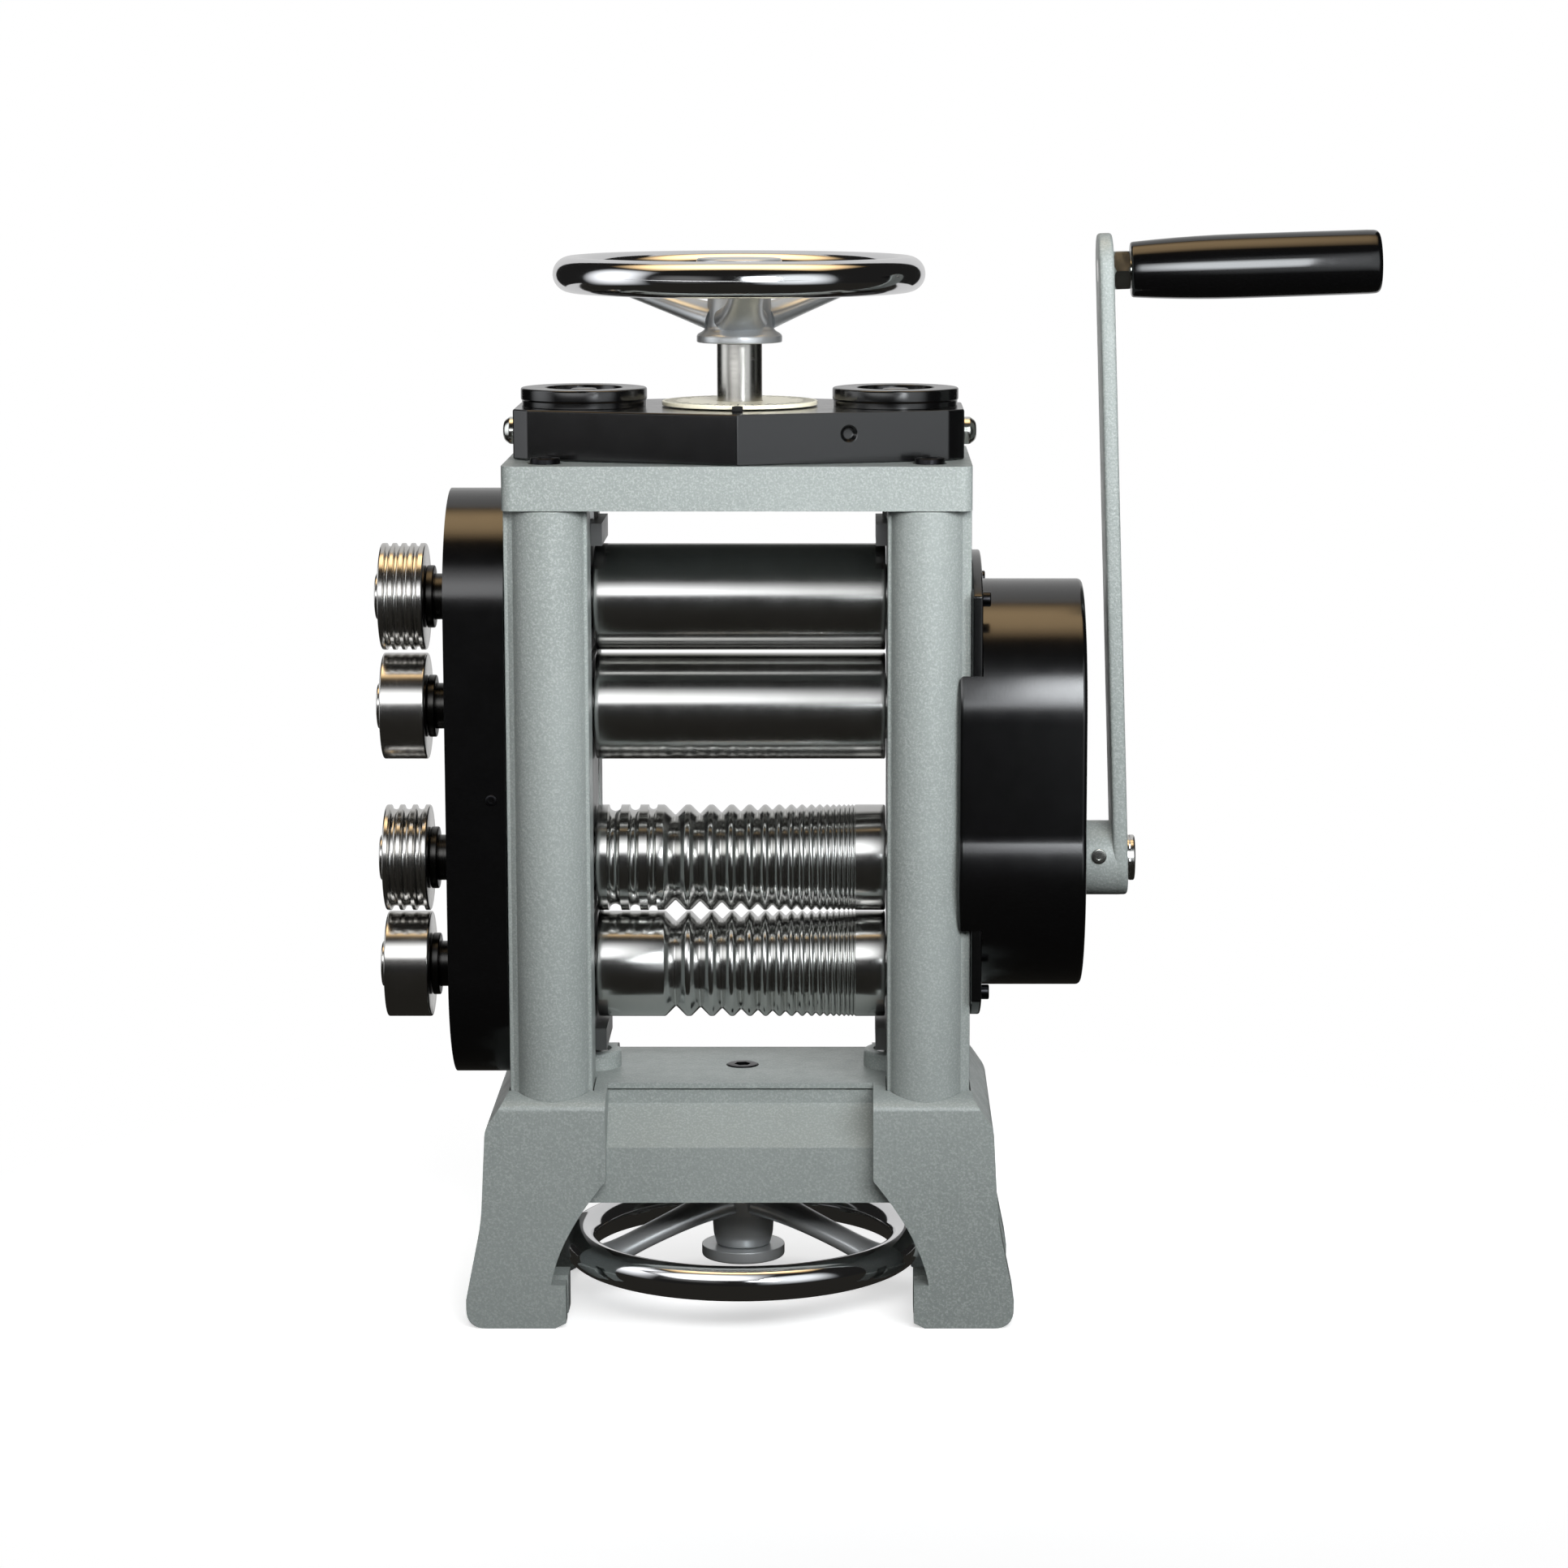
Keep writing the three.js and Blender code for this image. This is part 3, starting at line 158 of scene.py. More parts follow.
# Hammered or orange-peel skin of a sprayed enamel, as a height, with lighter grain specks that are partly
# painted glints for the enamel's sparkle
def makeEnamelGroup():
    outputs = {"height": "Float", "speck": "Float"}
    tree, given = newGroup("enamelSkin", "ShaderNodeTree", {"dimpleScale": "Float"}, outputs)
    coords = objectCoords(tree)
    cellInputs = {"Smoothness": 0.7, "Vector": coords, "Scale": given["dimpleScale"]}
    cells = addNode(tree, "ShaderNodeTexVoronoi", (-500, 150), cellInputs, feature="SMOOTH_F1")
    grain = noise(tree, (-500, -200), 900, 3, 0.6, coords)
    dimples = calculated(tree, (-200, 150), "MULTIPLY", cells.outputs["Distance"], 0.8)
    grit = calculated(tree, (-200, -150), "MULTIPLY", grain, 0.5)
    height = calculated(tree, (100, 50), "ADD", dimples, grit)
    # Lighter specks where the fine grain peaks: partly the paint's grain, partly painted glints standing in
    # for its sparkle
    speck = ramp(tree, (100, -250), 0.48, 0.62, 0, 1, grain)
    addNode(tree, "NodeGroupOutput", (500, 0), {"height": height, "speck": speck})
    return tree


# Turning and grinding lines: the large number of "stretch" is the way across them
def makeTurningGroup():
    outputs = {"height": "Float", "shade": "Float"}
    tree, given = newGroup("turningLines", "ShaderNodeTree", {"stretch": "Vector"}, outputs)
    factors = {0: objectCoords(tree), 1: given["stretch"]}
    scaled = addNode(tree, "ShaderNodeVectorMath", (-600, -50), factors, operation="MULTIPLY")
    lines = noise(tree, (-300, 50), 1, 5, 0.65, scaled.outputs["Vector"])
    shade = ramp(tree, (0, -150), 0.3, 0.7, 0, 1, lines)
    addNode(tree, "NodeGroupOutput", (300, 0), {"height": lines, "shade": shade})
    return tree


handlingMarks = makeHandlingGroup()
enamelSkin = makeEnamelGroup()
turningLines = makeTurningGroup()


def startMaterial(name, base, metallic, roughness):
    material = bpy.data.materials.new(name)
    material.use_nodes = True
    tree = material.node_tree
    shader = tree.nodes["Principled BSDF"]
    shader.location = (600, 0)
    feed(tree, shader, {"Base Color": (*base, 1), "Metallic": metallic, "Roughness": roughness})
    return material, tree, shader


def groupOutputs(tree, group, place, inputs):
    return addNode(tree, "ShaderNodeGroup", place, inputs, node_tree=group).outputs


def mixColour(tree, place, factor, first, second):
    start = (*first, 1) if isinstance(first, tuple) else first
    mix = addNode(tree, "ShaderNodeMix", place, {0: factor, 6: start, 7: (*second, 1)}, data_type="RGBA")
    return mix.outputs[2]


def bumpFrom(tree, height, strength, distance):
    inputs = {"Strength": strength, "Distance": distance, "Height": height}
    return addNode(tree, "ShaderNodeBump", (200, -200), inputs).outputs["Normal"]


# Painted iron: two tones of enamel, dimples for bump, and a little dust where hands don't reach
def makeEnamel(name, tones, roughness, dimpleScale, bumpStrength, bumpDistance, coat, specular=0.5):
    body, shade, speck = tones
    material, tree, shader = startMaterial(name, body, 0, roughness[0])
    marks = groupOutputs(tree, handlingMarks, (-600, 200), {"patchScale": 7, "fineScale": 90})
    skin = groupOutputs(tree, enamelSkin, (-600, -150), {"dimpleScale": dimpleScale})
    mottled = mixColour(tree, (-300, 250), marks["patch"], body, shade)
    inputs = {
        # The lighter grain specks laid into the colour are partly painted glints for the enamel's sparkle
        "Base Color": mixColour(tree, (0, 250), skin["speck"], mottled, speck),
        "Roughness": ramp(tree, (0, 0), 0, 1, *roughness, marks["fine"]),
        "Normal": bumpFrom(tree, skin["height"], bumpStrength, bumpDistance),
        "Specular IOR Level": specular,
        "Coat Weight": coat,
        "Coat Roughness": 0.25,
    }
    feed(tree, shader, inputs)
    return material


# Bare metal: turning lines give its grain, and handling dulls it in patches
def makeMetal(name, bright, dull, roughness, stretch, bumpStrength, metallic=1):
    material, tree, shader = startMaterial(name, bright, metallic, roughness[0])
    lines = groupOutputs(tree, turningLines, (-600, -100), {"stretch": stretch})
    marks = groupOutputs(tree, handlingMarks, (-600, 200), {"patchScale": 12, "fineScale": 70})
    blend = calculated(tree, (-200, 0), "MULTIPLY", lines["shade"], marks["fine"])
    inputs = {
        "Base Color": mixColour(tree, (-200, 250), marks["patch"], bright, dull),
        "Roughness": ramp(tree, (100, 0), 0, 1, *roughness, blend),
        "Normal": bumpFrom(tree, lines["height"], bumpStrength, 0.00004),
    }
    feed(tree, shader, inputs)
    return material


# Body, shade and lighter grain speck of each enamel; the speck is partly grain and partly painted glint for
# the enamel's sparkle
greyTones = ((0.252, 0.28, 0.27), (0.222, 0.248, 0.238), (0.31, 0.335, 0.325))
blackTones = ((0.0012, 0.0012, 0.0014), (0.0016, 0.0016, 0.0016), (0.002, 0.002, 0.0022))
creamTones = ((0.78, 0.74, 0.58), (0.72, 0.68, 0.51), (0.8, 0.76, 0.61))
enamels = {
    "enamel": ("greyEnamel", greyTones, (0.34, 0.5), 460, 0.42, 0.0005, 0.05, 0.4),
    "black": ("blackEnamel", blackTones, (0.17, 0.2), 900, 0.03, 0.0002, 0, 0.75),
    "cream": ("creamDial", creamTones, (0.3, 0.42), 1200, 0.03, 0.0001, 0.2),
    "ink": ("dialInk", blackTones, (0.4, 0.5), 900, 0.02, 0.0001, 0),
    "grip": ("polishedPhenolic", blackTones, (0.05, 0.1), 1500, 0.01, 0.0001, 0.2),
}
metals = {
    "roll": ("groundRollSteel", (0.62, 0.62, 0.61), (0.55, 0.55, 0.53), (0.16, 0.23), (1400, 5, 5), 0.16),
    "sideRoll": ("sideRollSteel", (0.66, 0.65, 0.63), (0.58, 0.57, 0.55), (0.17, 0.26), (1400, 5, 5), 0.16),
    "chrome": ("chromePlate", (0.8, 0.8, 0.81), (0.75, 0.75, 0.76), (0.08, 0.12), (40, 40, 40), 0.02),
    "satin": ("satinCasting", (0.6, 0.62, 0.63), (0.48, 0.5, 0.51), (0.3, 0.44), (260, 260, 260), 0.5, 0.72),
    "spindle": ("turnedSpindle", (0.5, 0.49, 0.46), (0.42, 0.41, 0.38), (0.2, 0.3), (5, 5, 1100), 0.2),
    "gear": ("machinedGear", (0.5, 0.5, 0.5), (0.38, 0.38, 0.37), (0.26, 0.42), (500, 60, 60), 0.3),
    "iron": ("machinedIron", (0.3, 0.3, 0.3), (0.2, 0.2, 0.2), (0.38, 0.55), (90, 90, 90), 0.5),
    "stub": ("oiledStub", (0.06, 0.058, 0.055), (0.035, 0.035, 0.035), (0.25, 0.4), (900, 6, 6), 0.25),
    "oxide": ("blackOxide", (0.035, 0.035, 0.038), (0.02, 0.02, 0.022), (0.28, 0.42), (300, 300, 300), 0.2),
    "zinc": ("zincNut", (0.7, 0.71, 0.68), (0.55, 0.56, 0.52), (0.16, 0.3), (120, 120, 120), 0.2),
    "bronze": ("bearingBronze", (0.6, 0.4, 0.17), (0.4, 0.26, 0.11), (0.25, 0.4), (700, 8, 8), 0.25),
}
finish = {key: makeEnamel(*row) for key, row in enamels.items()}
finish.update({key: makeMetal(*row) for key, row in metals.items()})
print("materials made:", len(finish))


# Mesh helpers
def meshObject(name, points, faces, material):
    mesh = bpy.data.meshes.new(name)
    mesh.from_pydata([placed(*p) for p in points], [], faces)
    mesh.materials.append(finish[material])
    work = bmesh.new()
    work.from_mesh(mesh)
    bmesh.ops.remove_doubles(work, verts=work.verts, dist=0.000002)
    bmesh.ops.recalc_face_normals(work, faces=work.faces)
    work.to_mesh(mesh)
    work.free()
    return linked(name, mesh)


def smoothShade(obj, degrees=32):
    mesh = obj.data
    mesh.polygons.foreach_set("use_smooth", [True] * len(mesh.polygons))
    mesh.set_sharp_from_angle(angle=math.radians(degrees))


def repaint(obj, material):
    obj.data.materials.clear()
    obj.data.materials.append(material)


def discard(*objects):
    for obj in objects:
        mesh = obj.data
        bpy.data.objects.remove(obj)
        bpy.data.meshes.remove(mesh)


def settle(obj):
    bpy.context.view_layer.update()
    made = bpy.data.meshes.new_from_object(obj.evaluated_get(bpy.context.evaluated_depsgraph_get()))
    made.name = obj.name
    obj.modifiers.clear()
    old = obj.data
    obj.data = made
    bpy.data.meshes.remove(old)
    return obj


def roundEdges(obj, width, segments, angle):
    bevel = obj.modifiers.new("edges", "BEVEL")
    bevel.width = width / 1000
    bevel.segments = segments
    bevel.limit_method = "ANGLE"
    bevel.angle_limit = math.radians(angle)
    bevel.use_clamp_overlap = True
    settle(obj)


def weighNormals(obj, degrees=32):
    smoothShade(obj, degrees)
    weighted = obj.modifiers.new("weighted", "WEIGHTED_NORMAL")
    weighted.keep_sharp = True
    settle(obj)


def softenEdges(obj, width, segments=3, angle=40):
    roundEdges(obj, width, segments, angle)
    weighNormals(obj)


def carve(obj, operation, *tools):
    for tool in tools:
        boolean = obj.modifiers.new("carve", "BOOLEAN")
        boolean.operation = operation
        boolean.solver = "EXACT"
        boolean.object = tool
        settle(obj)
    discard(*tools)


def fuse(name, *objects):
    points = []
    faces = []
    slots = []
    indices = []
    for obj in objects:
        first = len(points)
        remap = []
        for material in obj.data.materials:
            if material not in slots:
                slots.append(material)
            remap.append(slots.index(material))
        points.extend(v.co.copy() for v in obj.data.vertices)
        for face in obj.data.polygons:
            faces.append([first + i for i in face.vertices])
            indices.append(remap[face.material_index])
    mesh = bpy.data.meshes.new(name)
    mesh.from_pydata(points, [], faces)
    for material in slots:
        mesh.materials.append(material)
    mesh.polygons.foreach_set("material_index", indices)
    discard(*objects)
    return linked(name, mesh)


def mount(obj, body, slot, *nodes):
    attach(obj, body)
    if nodes:
        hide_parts(*nodes)


# Corners of a turned profile, rounded where a third number gives the size of the round
def rounded(profile, steps=4):
    points = []
    last = len(profile) - 1
    for i, entry in enumerate(profile):
        corner = Vector(entry[:2])
        size = entry[2] if len(entry) > 2 else 0
        if size <= 0 or i in (0, last):
            points.append(tuple(corner))
            continue
        before = Vector(profile[i - 1][:2]) - corner
        after = Vector(profile[i + 1][:2]) - corner
        reach = min(size, before.length * 0.5, after.length * 0.5)
        first = corner + before.normalized() * reach
        second = corner + after.normalized() * reach
        for k in range(steps + 1):
            t = k / steps
            points.append(tuple(first * (1 - t) ** 2 + corner * 2 * t * (1 - t) + second * t**2))
    return points


# Turns (along, radius) pairs about an axis through "centre"; radius 0 closes the end
def turned(name, profile, axis, centre, material, segments=96):
    points = []
    rings = []
    for along, radius in profile:
        count = segments if radius > 1e-6 else 1
        rings.append(range(len(points), len(points) + count))
        for i in range(count):
            angle = 2 * math.pi * i / segments
            a = radius * math.cos(angle)
            b = radius * math.sin(angle)
            offset = (along, a, b) if axis == "X" else (a, b, along)
            points.append(tuple(c + o for c, o in zip(centre, offset)))
    faces = []
    for lower, upper in zip(rings, rings[1:]):
        for i in range(segments):
            j = (i + 1) % segments
            if len(lower) == 1 and len(upper) == 1:
                break
            if len(lower) == 1:
                faces.append((lower[0], upper[i], upper[j]))
            elif len(upper) == 1:
                faces.append((lower[i], lower[j], upper[0]))
            else:
                faces.append((lower[i], lower[j], upper[j], upper[i]))
    obj = meshObject(name, points, faces, material)
    smoothShade(obj)
    return obj


# A plain round bar, mostly to cut a bore with
def rod(low, high, radius, axis, centre, material="black", segments=48):
    profile = [(low, 0), (low, radius), (high, radius), (high, 0)]
    return turned("rod", profile, axis, centre, material, segments)


# Pushes a closed outline along an axis: (x, y) along Z, (x, z) along Y, (y, z) along X
def pushed(name, outline, axis, low, high, material):
    count = len(outline)
    points = []
    for along in (low, high):
        for a, b in outline:
            points.append({"X": (along, a, b), "Y": (a, along, b), "Z": (a, b, along)}[axis])
    faces = [tuple(range(count)), tuple(range(2 * count - 1, count - 1, -1))]
    for i in range(count):
        j = (i + 1) % count
        faces.append((i, j, j + count, i + count))
    return meshObject(name, points, faces, material)


def boxed(name, x0, x1, y0, y1, z0, z1, material):
    return pushed(name, [(x0, y0), (x1, y0), (x1, y1), (x0, y1)], "Z", z0, z1, material)


def arc(cx, cy, radius, start, end, steps):
    points = []
    for i in range(steps + 1):
        angle = math.radians(start + (end - start) * i / steps)
        points.append((cx + radius * math.cos(angle), cy + radius * math.sin(angle)))
    return points


def bezier(start, control, end, steps):
    points = []
    for i in range(1, steps + 1):
        t = i / steps
        rows = zip(start, control, end)
        points.append(tuple(s * (1 - t) ** 2 + 2 * c * t * (1 - t) + e * t * t for s, c, e in rows))
    return points


def hexagon(width):
    corners = [math.radians(a) for a in range(0, 360, 60)]
    reach = width / math.sqrt(3)
    return [(reach * math.cos(a), reach * math.sin(a)) for a in corners]


def closePainted(tree, geometry, material, output):
    painted = addNode(tree, "GeometryNodeSetMaterial", (400, 0), {"Geometry": geometry, "Material": material})
    addNode(tree, "NodeGroupOutput", (600, 0), {output: painted.outputs["Geometry"]})
    return tree


# Node tree that sets one small piece on every point of a host mesh
def makeCopiesTree():
    inputs = {"points": "Geometry", "piece": "Object", "finish": "Material"}
    tree, given = newGroup("copiesOnPoints", "GeometryNodeTree", inputs, {"copies": "Geometry"})
    info = addNode(tree, "GeometryNodeObjectInfo", (-400, -150), {"Object": given["piece"]})
    place = (-400, -350)
    turn = addNode(tree, "GeometryNodeInputNamedAttribute", place, {"Name": "turn"}, data_type="FLOAT_VECTOR")
    angles = {"Euler": turn.outputs["Attribute"]}
    rotation = addNode(tree, "FunctionNodeEulerToRotation", (-200, -350), angles)
    copyInputs = {
        "Points": given["points"],
        "Instance": info.outputs["Geometry"],
        "Rotation": rotation.outputs["Rotation"],
    }
    instances = addNode(tree, "GeometryNodeInstanceOnPoints", (0, 0), copyInputs).outputs["Instances"]
    real = addNode(tree, "GeometryNodeRealizeInstances", (200, 0), {"Geometry": instances})
    return closePainted(tree, real.outputs["Geometry"], given["finish"], "copies")


# Node tree for a coil: a spiral with a round wire
def makeCoilTree():
    inputs = {"start": "Geometry", "turns": "Float", "radius": "Float", "height": "Float", "wire": "Float"}
    inputs["finish"] = "Material"
    tree, given = newGroup("coilSpring", "GeometryNodeTree", inputs, {"coil": "Geometry"})
    spiralInputs = {
        "Resolution": 20,
        "Rotations": given["turns"],
        "Start Radius": given["radius"],
        "End Radius": given["radius"],
        "Height": given["height"],
    }
    spiral = addNode(tree, "GeometryNodeCurveSpiral", (-300, 100), spiralInputs)
    circle = {"Resolution": 10, "Radius": given["wire"]}
    wire = addNode(tree, "GeometryNodeCurvePrimitiveCircle", (-300, -200), circle)
    curves = {"Curve": spiral.outputs["Curve"], "Profile Curve": wire.outputs["Curve"], "Fill Caps": True}
    tube = addNode(tree, "GeometryNodeCurveToMesh", (0, 0), curves)
    smooth = addNode(tree, "GeometryNodeSetShadeSmooth", (200, 0), {"Geometry": tube.outputs["Mesh"]})
    return closePainted(tree, smooth.outputs["Geometry"], given["finish"], "coil")


copiesTree = makeCopiesTree()
coilTree = makeCoilTree()


def grown(name, mesh, tree, values):
    obj = linked(name, mesh)
    modifier = obj.modifiers.new("grown", "NODES")
    modifier.node_group = tree
    sockets = {item.name: item.identifier for item in tree.interface.items_tree if item.in_out == "INPUT"}
    for key, value in values.items():
        modifier[sockets[key]] = value
    return settle(obj)


# places: (x, y, z) in millimetres with a turn (rx, ry, rz) in degrees; the piece is built about the origin
def copies(name, piece, places, material):
    mesh = bpy.data.meshes.new(name)
    mesh.from_pydata([placed(*p[0]) for p in places], [], [])
    turns = mesh.attributes.new("turn", "FLOAT_VECTOR", "POINT")
    turns.data.foreach_set("vector", [math.radians(a) for p in places for a in p[1]])
    obj = grown(name, mesh, copiesTree, {"piece": piece, "finish": finish[material]})
    discard(piece)
    smoothShade(obj)
    return obj


def aboutOrigin(obj):
    obj.data.transform(Matrix.Translation((-middleX, 0, 0)))
    return obj


# Socket head screw about the origin, its head's top at z = 0 and its socket open upwards
def socketScrew(name, head, depth, socket):
    profile = rounded([(-depth, 0), (-depth, head / 2), (0, head / 2, 0.8), (0, 0)])
    screw = turned(name, profile, "Z", (0, 0, 0), "oxide", 32)
    carve(screw, "DIFFERENCE", pushed("pocket", hexagon(socket), "Z", -depth * 0.6, 1, "oxide"))
    smoothShade(screw)
    return aboutOrigin(screw)


print("helpers ready")

# Pillars: a square back with a half-round bead down the front or rear
pillarSizes = Sizes(inner=79.5, width=44.5, window=29, body=58, reach=72, bead=20, beadInset=21, edge=1.6)


def pillarOutline(side, end):
    s = pillarSizes
    outer = s.inner + s.width
    beadX = s.inner + s.beadInset
    beadY = s.reach - s.bead
    rise = math.degrees(math.asin((s.body - beadY) / s.bead))
    hollowY = s.body - 0.3
    points = [(s.inner, s.window), (outer, s.window), (outer, s.body), (beadX + s.bead + 1.4, hollowY)]
    points += arc(beadX, beadY, s.bead, rise + 4, 176 - rise, 28)
    points += [(beadX - s.bead + 0.9, hollowY), (s.inner, s.body)]
    clean = points[:1]
    for p in points[1:]:
        if (Vector(p) - Vector(clean[-1])).length > 0.25:
            clean.append(p)
    return [(side * x, end * y) for x, y in clean]


def makePillars():
    for sideName, side in sides.items():
        for endName, end in (("front", -1), ("rear", 1)):
            node = f"pillar_{endName}_{sideName}"
            low, high = nodeBox(node)
            pillar = pushed(node + "_casting", pillarOutline(side, end), "Z", low.z, high.z, "enamel")
            softenEdges(pillar, pillarSizes.edge)
            mount(pillar, "frame", "frame_enamel", node)


makePillars()
print("pillars made")

# Top plate with its corner screws in counterbores, and the holes of the two adjusting screws
plateSizes = Sizes(
    corner=6, edge=1.6, screwX=101.75, screwY=51.3, counterbore=18, boreDepth=9, head=16, proud=3,
    adjusterX=84, adjusterBore=11.6,
)


def makeTopPlate():
    s = plateSizes
    low, high = nodeBox("top_plate")
    c = s.corner
    outline = [
        *arc(high.x - c, high.y - c, c, 0, 90, 8),
        *arc(low.x + c, high.y - c, c, 90, 180, 8),
        *arc(low.x + c, low.y + c, c, 180, 270, 8),
        *arc(high.x - c, low.y + c, c, 270, 360, 8),
    ]
    plate = pushed("top_plate_casting", outline, "Z", low.z, high.z, "enamel")
    corners = [(sx * s.screwX, sy * s.screwY) for sx in signs for sy in signs]
    above = high.z + 2
    bores = []
    for x, y in corners:
        bores.append(rod(high.z - s.boreDepth, above, s.counterbore / 2, "Z", (x, y, 0), "enamel", 40))
    for side in signs:
        bores.append(rod(low.z - 2, above, s.adjusterBore, "Z", (side * s.adjusterX, 0, 0), "enamel", 40))
    carve(plate, "DIFFERENCE", *bores)
    softenEdges(plate, s.edge, 3, 50)
    mount(plate, "frame", "frame_enamel", "top_plate")
    screw = socketScrew("plateScrew", s.head, s.boreDepth + s.proud - 0.2, 8)
    places = [((x, y, high.z + s.proud), (0, 0, 17 * i)) for i, (x, y) in enumerate(corners)]
    mount(copies("plate_screws", screw, places, "oxide"), "frame", "bright_steel")


makeTopPlate()
print("top plate made")

# Base casting: a beam between two pairs of splayed legs, its front set back under a lip and then sloping out
baseSizes = Sizes(
    deck=129, deckHalf=45, beamHalf=66, lip=3, recess=43, wall=12.5, deckWall=31, drop=61.5,
    crown=72, crownHeight=82, shoulder=137, shoulderRun=13, shoulderDrop=18.5, roundY=60, roundDrop=1.2,
    footHalf=148, footRound=11, footDepth=76, footInner=100, lug=6, lugHeight=24, knee=66,
    boltInset=6, boltBack=16, boltHole=4.5, archHalf=38, archHeight=52, archRound=16,
    bossX=84, boss=34, bossHeight=9.4, bossBore=11.6, bossBoreDepth=7, middleBore=9, middleBoreDepth=4,
    coverGap=0.4, coverRoomEnd=-124, gearGap=0.5, seatGap=0.7, seatDepth=6, discOverEnds=28,
    overlap=20, bossRoot=8, deckFall=9, edge=2.4,
)


def legOutline(side):
    s = baseSizes
    shoulderZ = s.deck - s.shoulderDrop
    points = [(s.crown, s.deck), (s.shoulder - s.shoulderRun, s.deck), (s.shoulder - 3, shoulderZ + 4)]
    points += bezier(points[-1], (s.shoulder, shoulderZ), (s.shoulder, shoulderZ - 6), 8)
    points.append((s.shoulder + 2, s.knee))
    points += bezier(points[-1], (s.shoulder + 2.6, s.knee - 8), (s.shoulder + 4, s.knee - 15), 6)
    points += [(s.footHalf, s.footRound + 5), (s.footHalf, s.footRound)]
    points += bezier(points[-1], (s.footHalf, 0), (s.footHalf - s.footRound, 0), 8)
    lugX = s.footInner - s.lug
    points += [(s.footInner, 0), (lugX, 3), (lugX, s.lugHeight), (s.footInner + 2, s.lugHeight)]
    points += bezier(points[-1], (s.footInner - 2, s.crownHeight - 32), (s.crown, s.crownHeight), 14)
    return [(side * x, z) for x, z in points]


def shoulderOutline():
    s = baseSizes
    deep = s.footDepth
    deck = s.deck
    low = deck - s.deckFall
    points = [(-deep, -1), (-deep, low)]
    points += bezier(points[-1], (-deep, deck - 3), (-s.roundY, deck - s.roundDrop), 6)
    points += [(-s.deckHalf, deck), (s.deckHalf, deck), (s.roundY, deck - s.roundDrop)]
    points += bezier(points[-1], (deep, deck - 3), (deep, low), 6)
    points.append((deep, -1))
    return points


def panOutline(grow):
    disc = nodeBox("base_gear_pan")[1].y + grow
    ends = disc - baseSizes.discOverEnds
    waist = math.degrees(math.asin(ends / disc))
    points = arc(0, 0, disc, waist, 180 - waist, 24) + arc(-baseSizes.bossX, 0, ends, 90, 270, 20)
    points += arc(0, 0, disc, 180 + waist, 360 - waist, 24)
    return points + arc(baseSizes.bossX, 0, ends, -90, 90, 20)


def seatOutline(side, end):
    s = pillarSizes
    gap = baseSizes.seatGap
    inner = s.inner - gap
    outer = inner + s.width + 2 * gap
    bead = arc(s.inner + s.beadInset, s.reach - s.bead, s.bead + gap, 20, 160, 24)
    points = [(inner, s.window - gap), (outer, s.window - gap), (outer, s.body + gap)]
    points += [*bead, (inner, s.body + gap)]
    return [(side * x, end * y) for x, y in points]


def slotOutline(side, end):
    s = baseSizes
    start = s.footInner - s.lug - 1
    boltX = s.footInner + s.boltInset
    boltY = s.footDepth - s.boltBack
    r = s.boltHole
    points = [(start, boltY - r), *arc(boltX, boltY, r, -90, 90, 12), (start, boltY + r)]
    return [(side * x, end * y) for x, y in points]


def makeBase():
    s = baseSizes
    deck = s.deck
    under = deck - s.drop
    past = s.footHalf + 1
    front = [(s.beamHalf, under), (s.beamHalf, deck - s.deckWall)]
    front += bezier(front[-1], (s.recess + 1, deck - s.wall - 1), (s.recess, deck - s.wall + 1), 6)
    front += [(s.recess, deck - s.lip), (s.deckHalf, deck - s.lip), (s.deckHalf, deck)]
    section = front + [(-y, z) for y, z in reversed(front)]
    base = pushed("base_casting_iron", section, "X", -s.crown - s.overlap, s.crown + s.overlap, "enamel")
    for side in signs:
        leg = pushed("leg", legOutline(side), "Y", -s.footDepth, s.footDepth, "enamel")
        carve(leg, "INTERSECT", pushed("limits", shoulderOutline(), "X", -past, past, "enamel"))
        root = deck - s.bossRoot
        top = deck + s.bossHeight
        profile = rounded([(root, 0), (root, s.boss / 2), (top, s.boss / 2, 2), (top, 0)])
        boss = turned("boss", profile, "Z", (side * s.bossX, 0, 0), "enamel", 48)
        carve(base, "UNION", leg, boss)
    a = s.archHalf
    r = s.archRound
    archZ = s.archHeight - r
    arch = [(-a, -1), *arc(-a + r, archZ, r, 180, 90, 8), *arc(a - r, archZ, r, 90, 0, 8), (a, -1)]
    tools = [pushed("arch", arch, "X", -past, past, "enamel")]
    coverLow, coverHigh = nodeBox("gear_cover")
    coverHalf = (coverHigh.y - coverLow.y) / 2
    reach = coverHalf + s.coverGap
    roomTop = nodeMiddle("roll_flat_lower").z
    room = [*arc(0, coverLow.z + coverHalf, reach, 180, 360, 24), (reach, roomTop), (-reach, roomTop)]
    tools.append(pushed("coverRoom", room, "X", -past, s.coverRoomEnd, "enamel"))
    for x in (-s.bossX, 0, s.bossX):
        radius = s.bossBore if x else s.middleBore
        depth = s.bossBoreDepth if x else s.middleBoreDepth
        tools.append(rod(deck - depth, deck + s.overlap, radius, "Z", (x, 0, 0), "enamel", 40))
    tools.append(pushed("gearRoom", panOutline(s.gearGap), "Z", under - 1, deck - s.deckWall, "enamel"))
    for side in signs:
        for end in signs:
            seat = seatOutline(side, end)
            tools.append(pushed("seat", seat, "Z", deck - s.seatDepth, deck + 2, "enamel"))
            tools.append(pushed("slot", slotOutline(side, end), "Z", -1, s.lugHeight + 6, "enamel"))
    carve(base, "DIFFERENCE", *tools)
    softenEdges(base, s.edge)
    mount(base, "frame", "frame_enamel", "base_casting")


makeBase()
print("base made")

